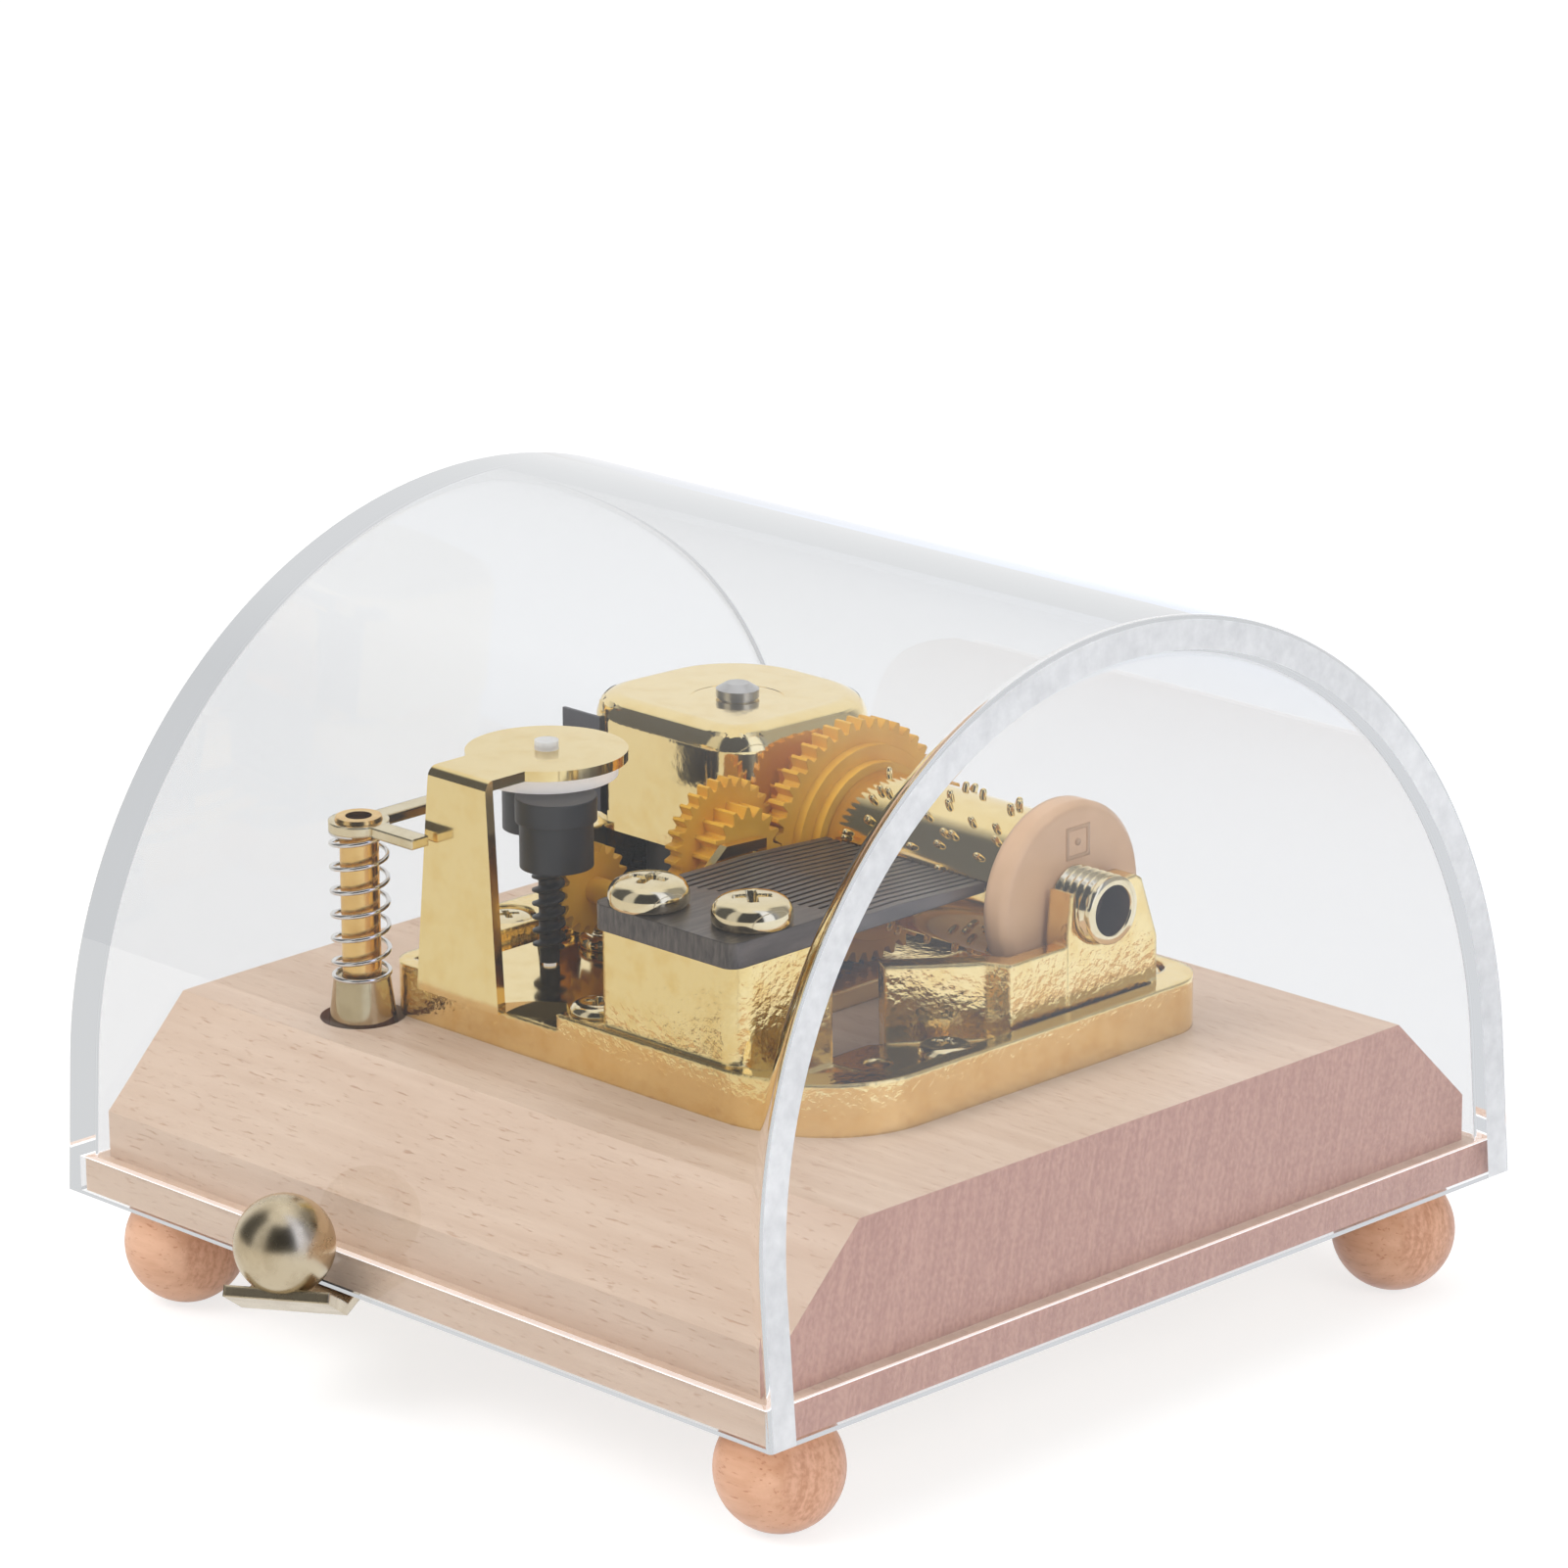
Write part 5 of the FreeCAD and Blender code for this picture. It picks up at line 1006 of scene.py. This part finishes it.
to_right = stepped(tree, maths(tree, "ADD", spot.outputs[0], spot.outputs[1]), -0.1, 0.1)
floor_tone = blend(tree, to_right, (0.94, 0.91, 0.86, 1), (1.14, 1.20, 1.34, 1))
in_mirror = add(tree, "ShaderNodeEmission", {"Color": floor_tone, "Strength": 1.0})
to_surface(tree, either_shader(tree, mirrored, plain, in_mirror))
floor.data.materials.append(paper)


# Studio. White all round to the eye, and even, plain light on the box. What polished metal mirrors
# is a dark room with a soft box on the left, a stronger and cooler one on the right, a pale wall
# behind the box and a white ceiling. Bearings are in radians, to the right of the camera.
camera_way = (0.7145, -0.6996)
right_way = (0.6996, 0.7145)
dark_room = 0.05
softboxes = [
    (-1.30, -0.72, 0.06, 0.78),
    (0.58, 1.16, 0.06, 1.25),
    (-2.3, -1.30, 0.1, 0.10),
    (1.16, 2.2, 0.15, 0.45),
]
plain_light = 0.55
light_target = Vector((0, 0, 0.03))
world = bpy.data.worlds.new("studio")
bpy.context.scene.world = world
world.use_nodes = True
tree = world.node_tree
path, mirrored = rays(tree)
way = add(tree, "ShaderNodeTexCoord").outputs["Generated"]
parts = add(tree, "ShaderNodeSeparateXYZ", {0: way}).outputs


def facing_share(x, y):
    """How far a direction faces along the given way over the floor."""
    across = maths(tree, "MULTIPLY", parts[0], x)
    return maths(tree, "ADD", across, maths(tree, "MULTIPLY", parts[1], y))


def between(value, low, high, edge):
    rising = stepped(tree, value, low - edge, low + edge)
    falling = stepped(tree, value, high - edge, high + edge, 1.0, 0.0)
    return maths(tree, "MULTIPLY", rising, falling)


bearing = maths(tree, "ARCTAN2", facing_share(*right_way), facing_share(*camera_way))
wall_behind = stepped(tree, maths(tree, "ABSOLUTE", bearing), 2.0, 2.45, 0.0, 1.05)
around = maths(tree, "MAXIMUM", wall_behind, dark_room)
for low, high, edge, strength in softboxes:
    lit = maths(tree, "MULTIPLY", between(bearing, low, high, edge), strength)
    around = maths(tree, "MAXIMUM", around, lit)
overhead = stepped(tree, parts[2], 0.84, 0.93)
under = maths(tree, "MULTIPLY", around, maths(tree, "SUBTRACT", 1.0, overhead))
room = maths(tree, "ADD", under, maths(tree, "MULTIPLY", overhead, 1.1))
seen = maths(tree, "MAXIMUM", path["Is Camera Ray"], path["Is Transmission Ray"])
level = maths(tree, "ADD", maths(tree, "MULTIPLY", mirrored, room), seen)
neither = maths(tree, "SUBTRACT", 1.0, maths(tree, "MAXIMUM", seen, path["Is Glossy Ray"]))
level = maths(tree, "ADD", level, maths(tree, "MULTIPLY", neither, plain_light))
tree.links.new(level, tree.nodes["Background"].inputs["Strength"])
cool_side = maths(tree, "MULTIPLY", mirrored, between(bearing, 0.45, 1.4, 0.15))
tint = blend(tree, cool_side, (1, 1, 1, 1), (0.94, 1.05, 1.45, 1))
tree.links.new(tint, tree.nodes["Background"].inputs["Color"])


def soft_light(name, place, size, power):
    """A rectangular light, turned to the middle of the box, that metal doesn't mirror."""
    lamp = bpy.data.lights.new(name, "AREA")
    lamp.shape = "RECTANGLE"
    lamp.size, lamp.size_y = size
    lamp.energy = power
    made = bpy.data.objects.new(name, lamp)
    bpy.context.scene.collection.objects.link(made)
    made.location = place
    towards = light_target - Vector(place)
    made.rotation_euler = towards.to_track_quat("-Z", "Y").to_euler()
    made.visible_glossy = False


soft_light("key", (-0.45, -0.95, 1.20), (0.95, 0.75), 12.9)
soft_light("fill", (0.60, -0.10, 0.35), (0.35, 0.35), 1.2)
soft_light("top", (0.0, 0.15, 0.75), (0.5, 0.5), 1.6)


# Camera. It stands in front of the box, to its right and a little above it, with a long lens, as the
# photograph was taken.
camera_place = (0.3730054, -0.3609523, 0.2014614)
right = Vector((0.70184839, 0.71225193, -0.01029645))
up = Vector((-0.20062308, 0.2115209, 0.95656118))
back = Vector((0.68349046, -0.66929522, 0.29134978))
camera_data = bpy.data.cameras.new("camera")
camera_data.lens = 159.873
camera_data.sensor_width = 36
camera = bpy.data.objects.new("camera", camera_data)
bpy.context.scene.collection.objects.link(camera)
facing = Matrix((right, up, back)).transposed().to_4x4()
camera.matrix_world = Matrix.Translation(camera_place) @ facing
bpy.context.scene.camera = camera

scene = bpy.context.scene
scene.view_settings.view_transform = "Standard"
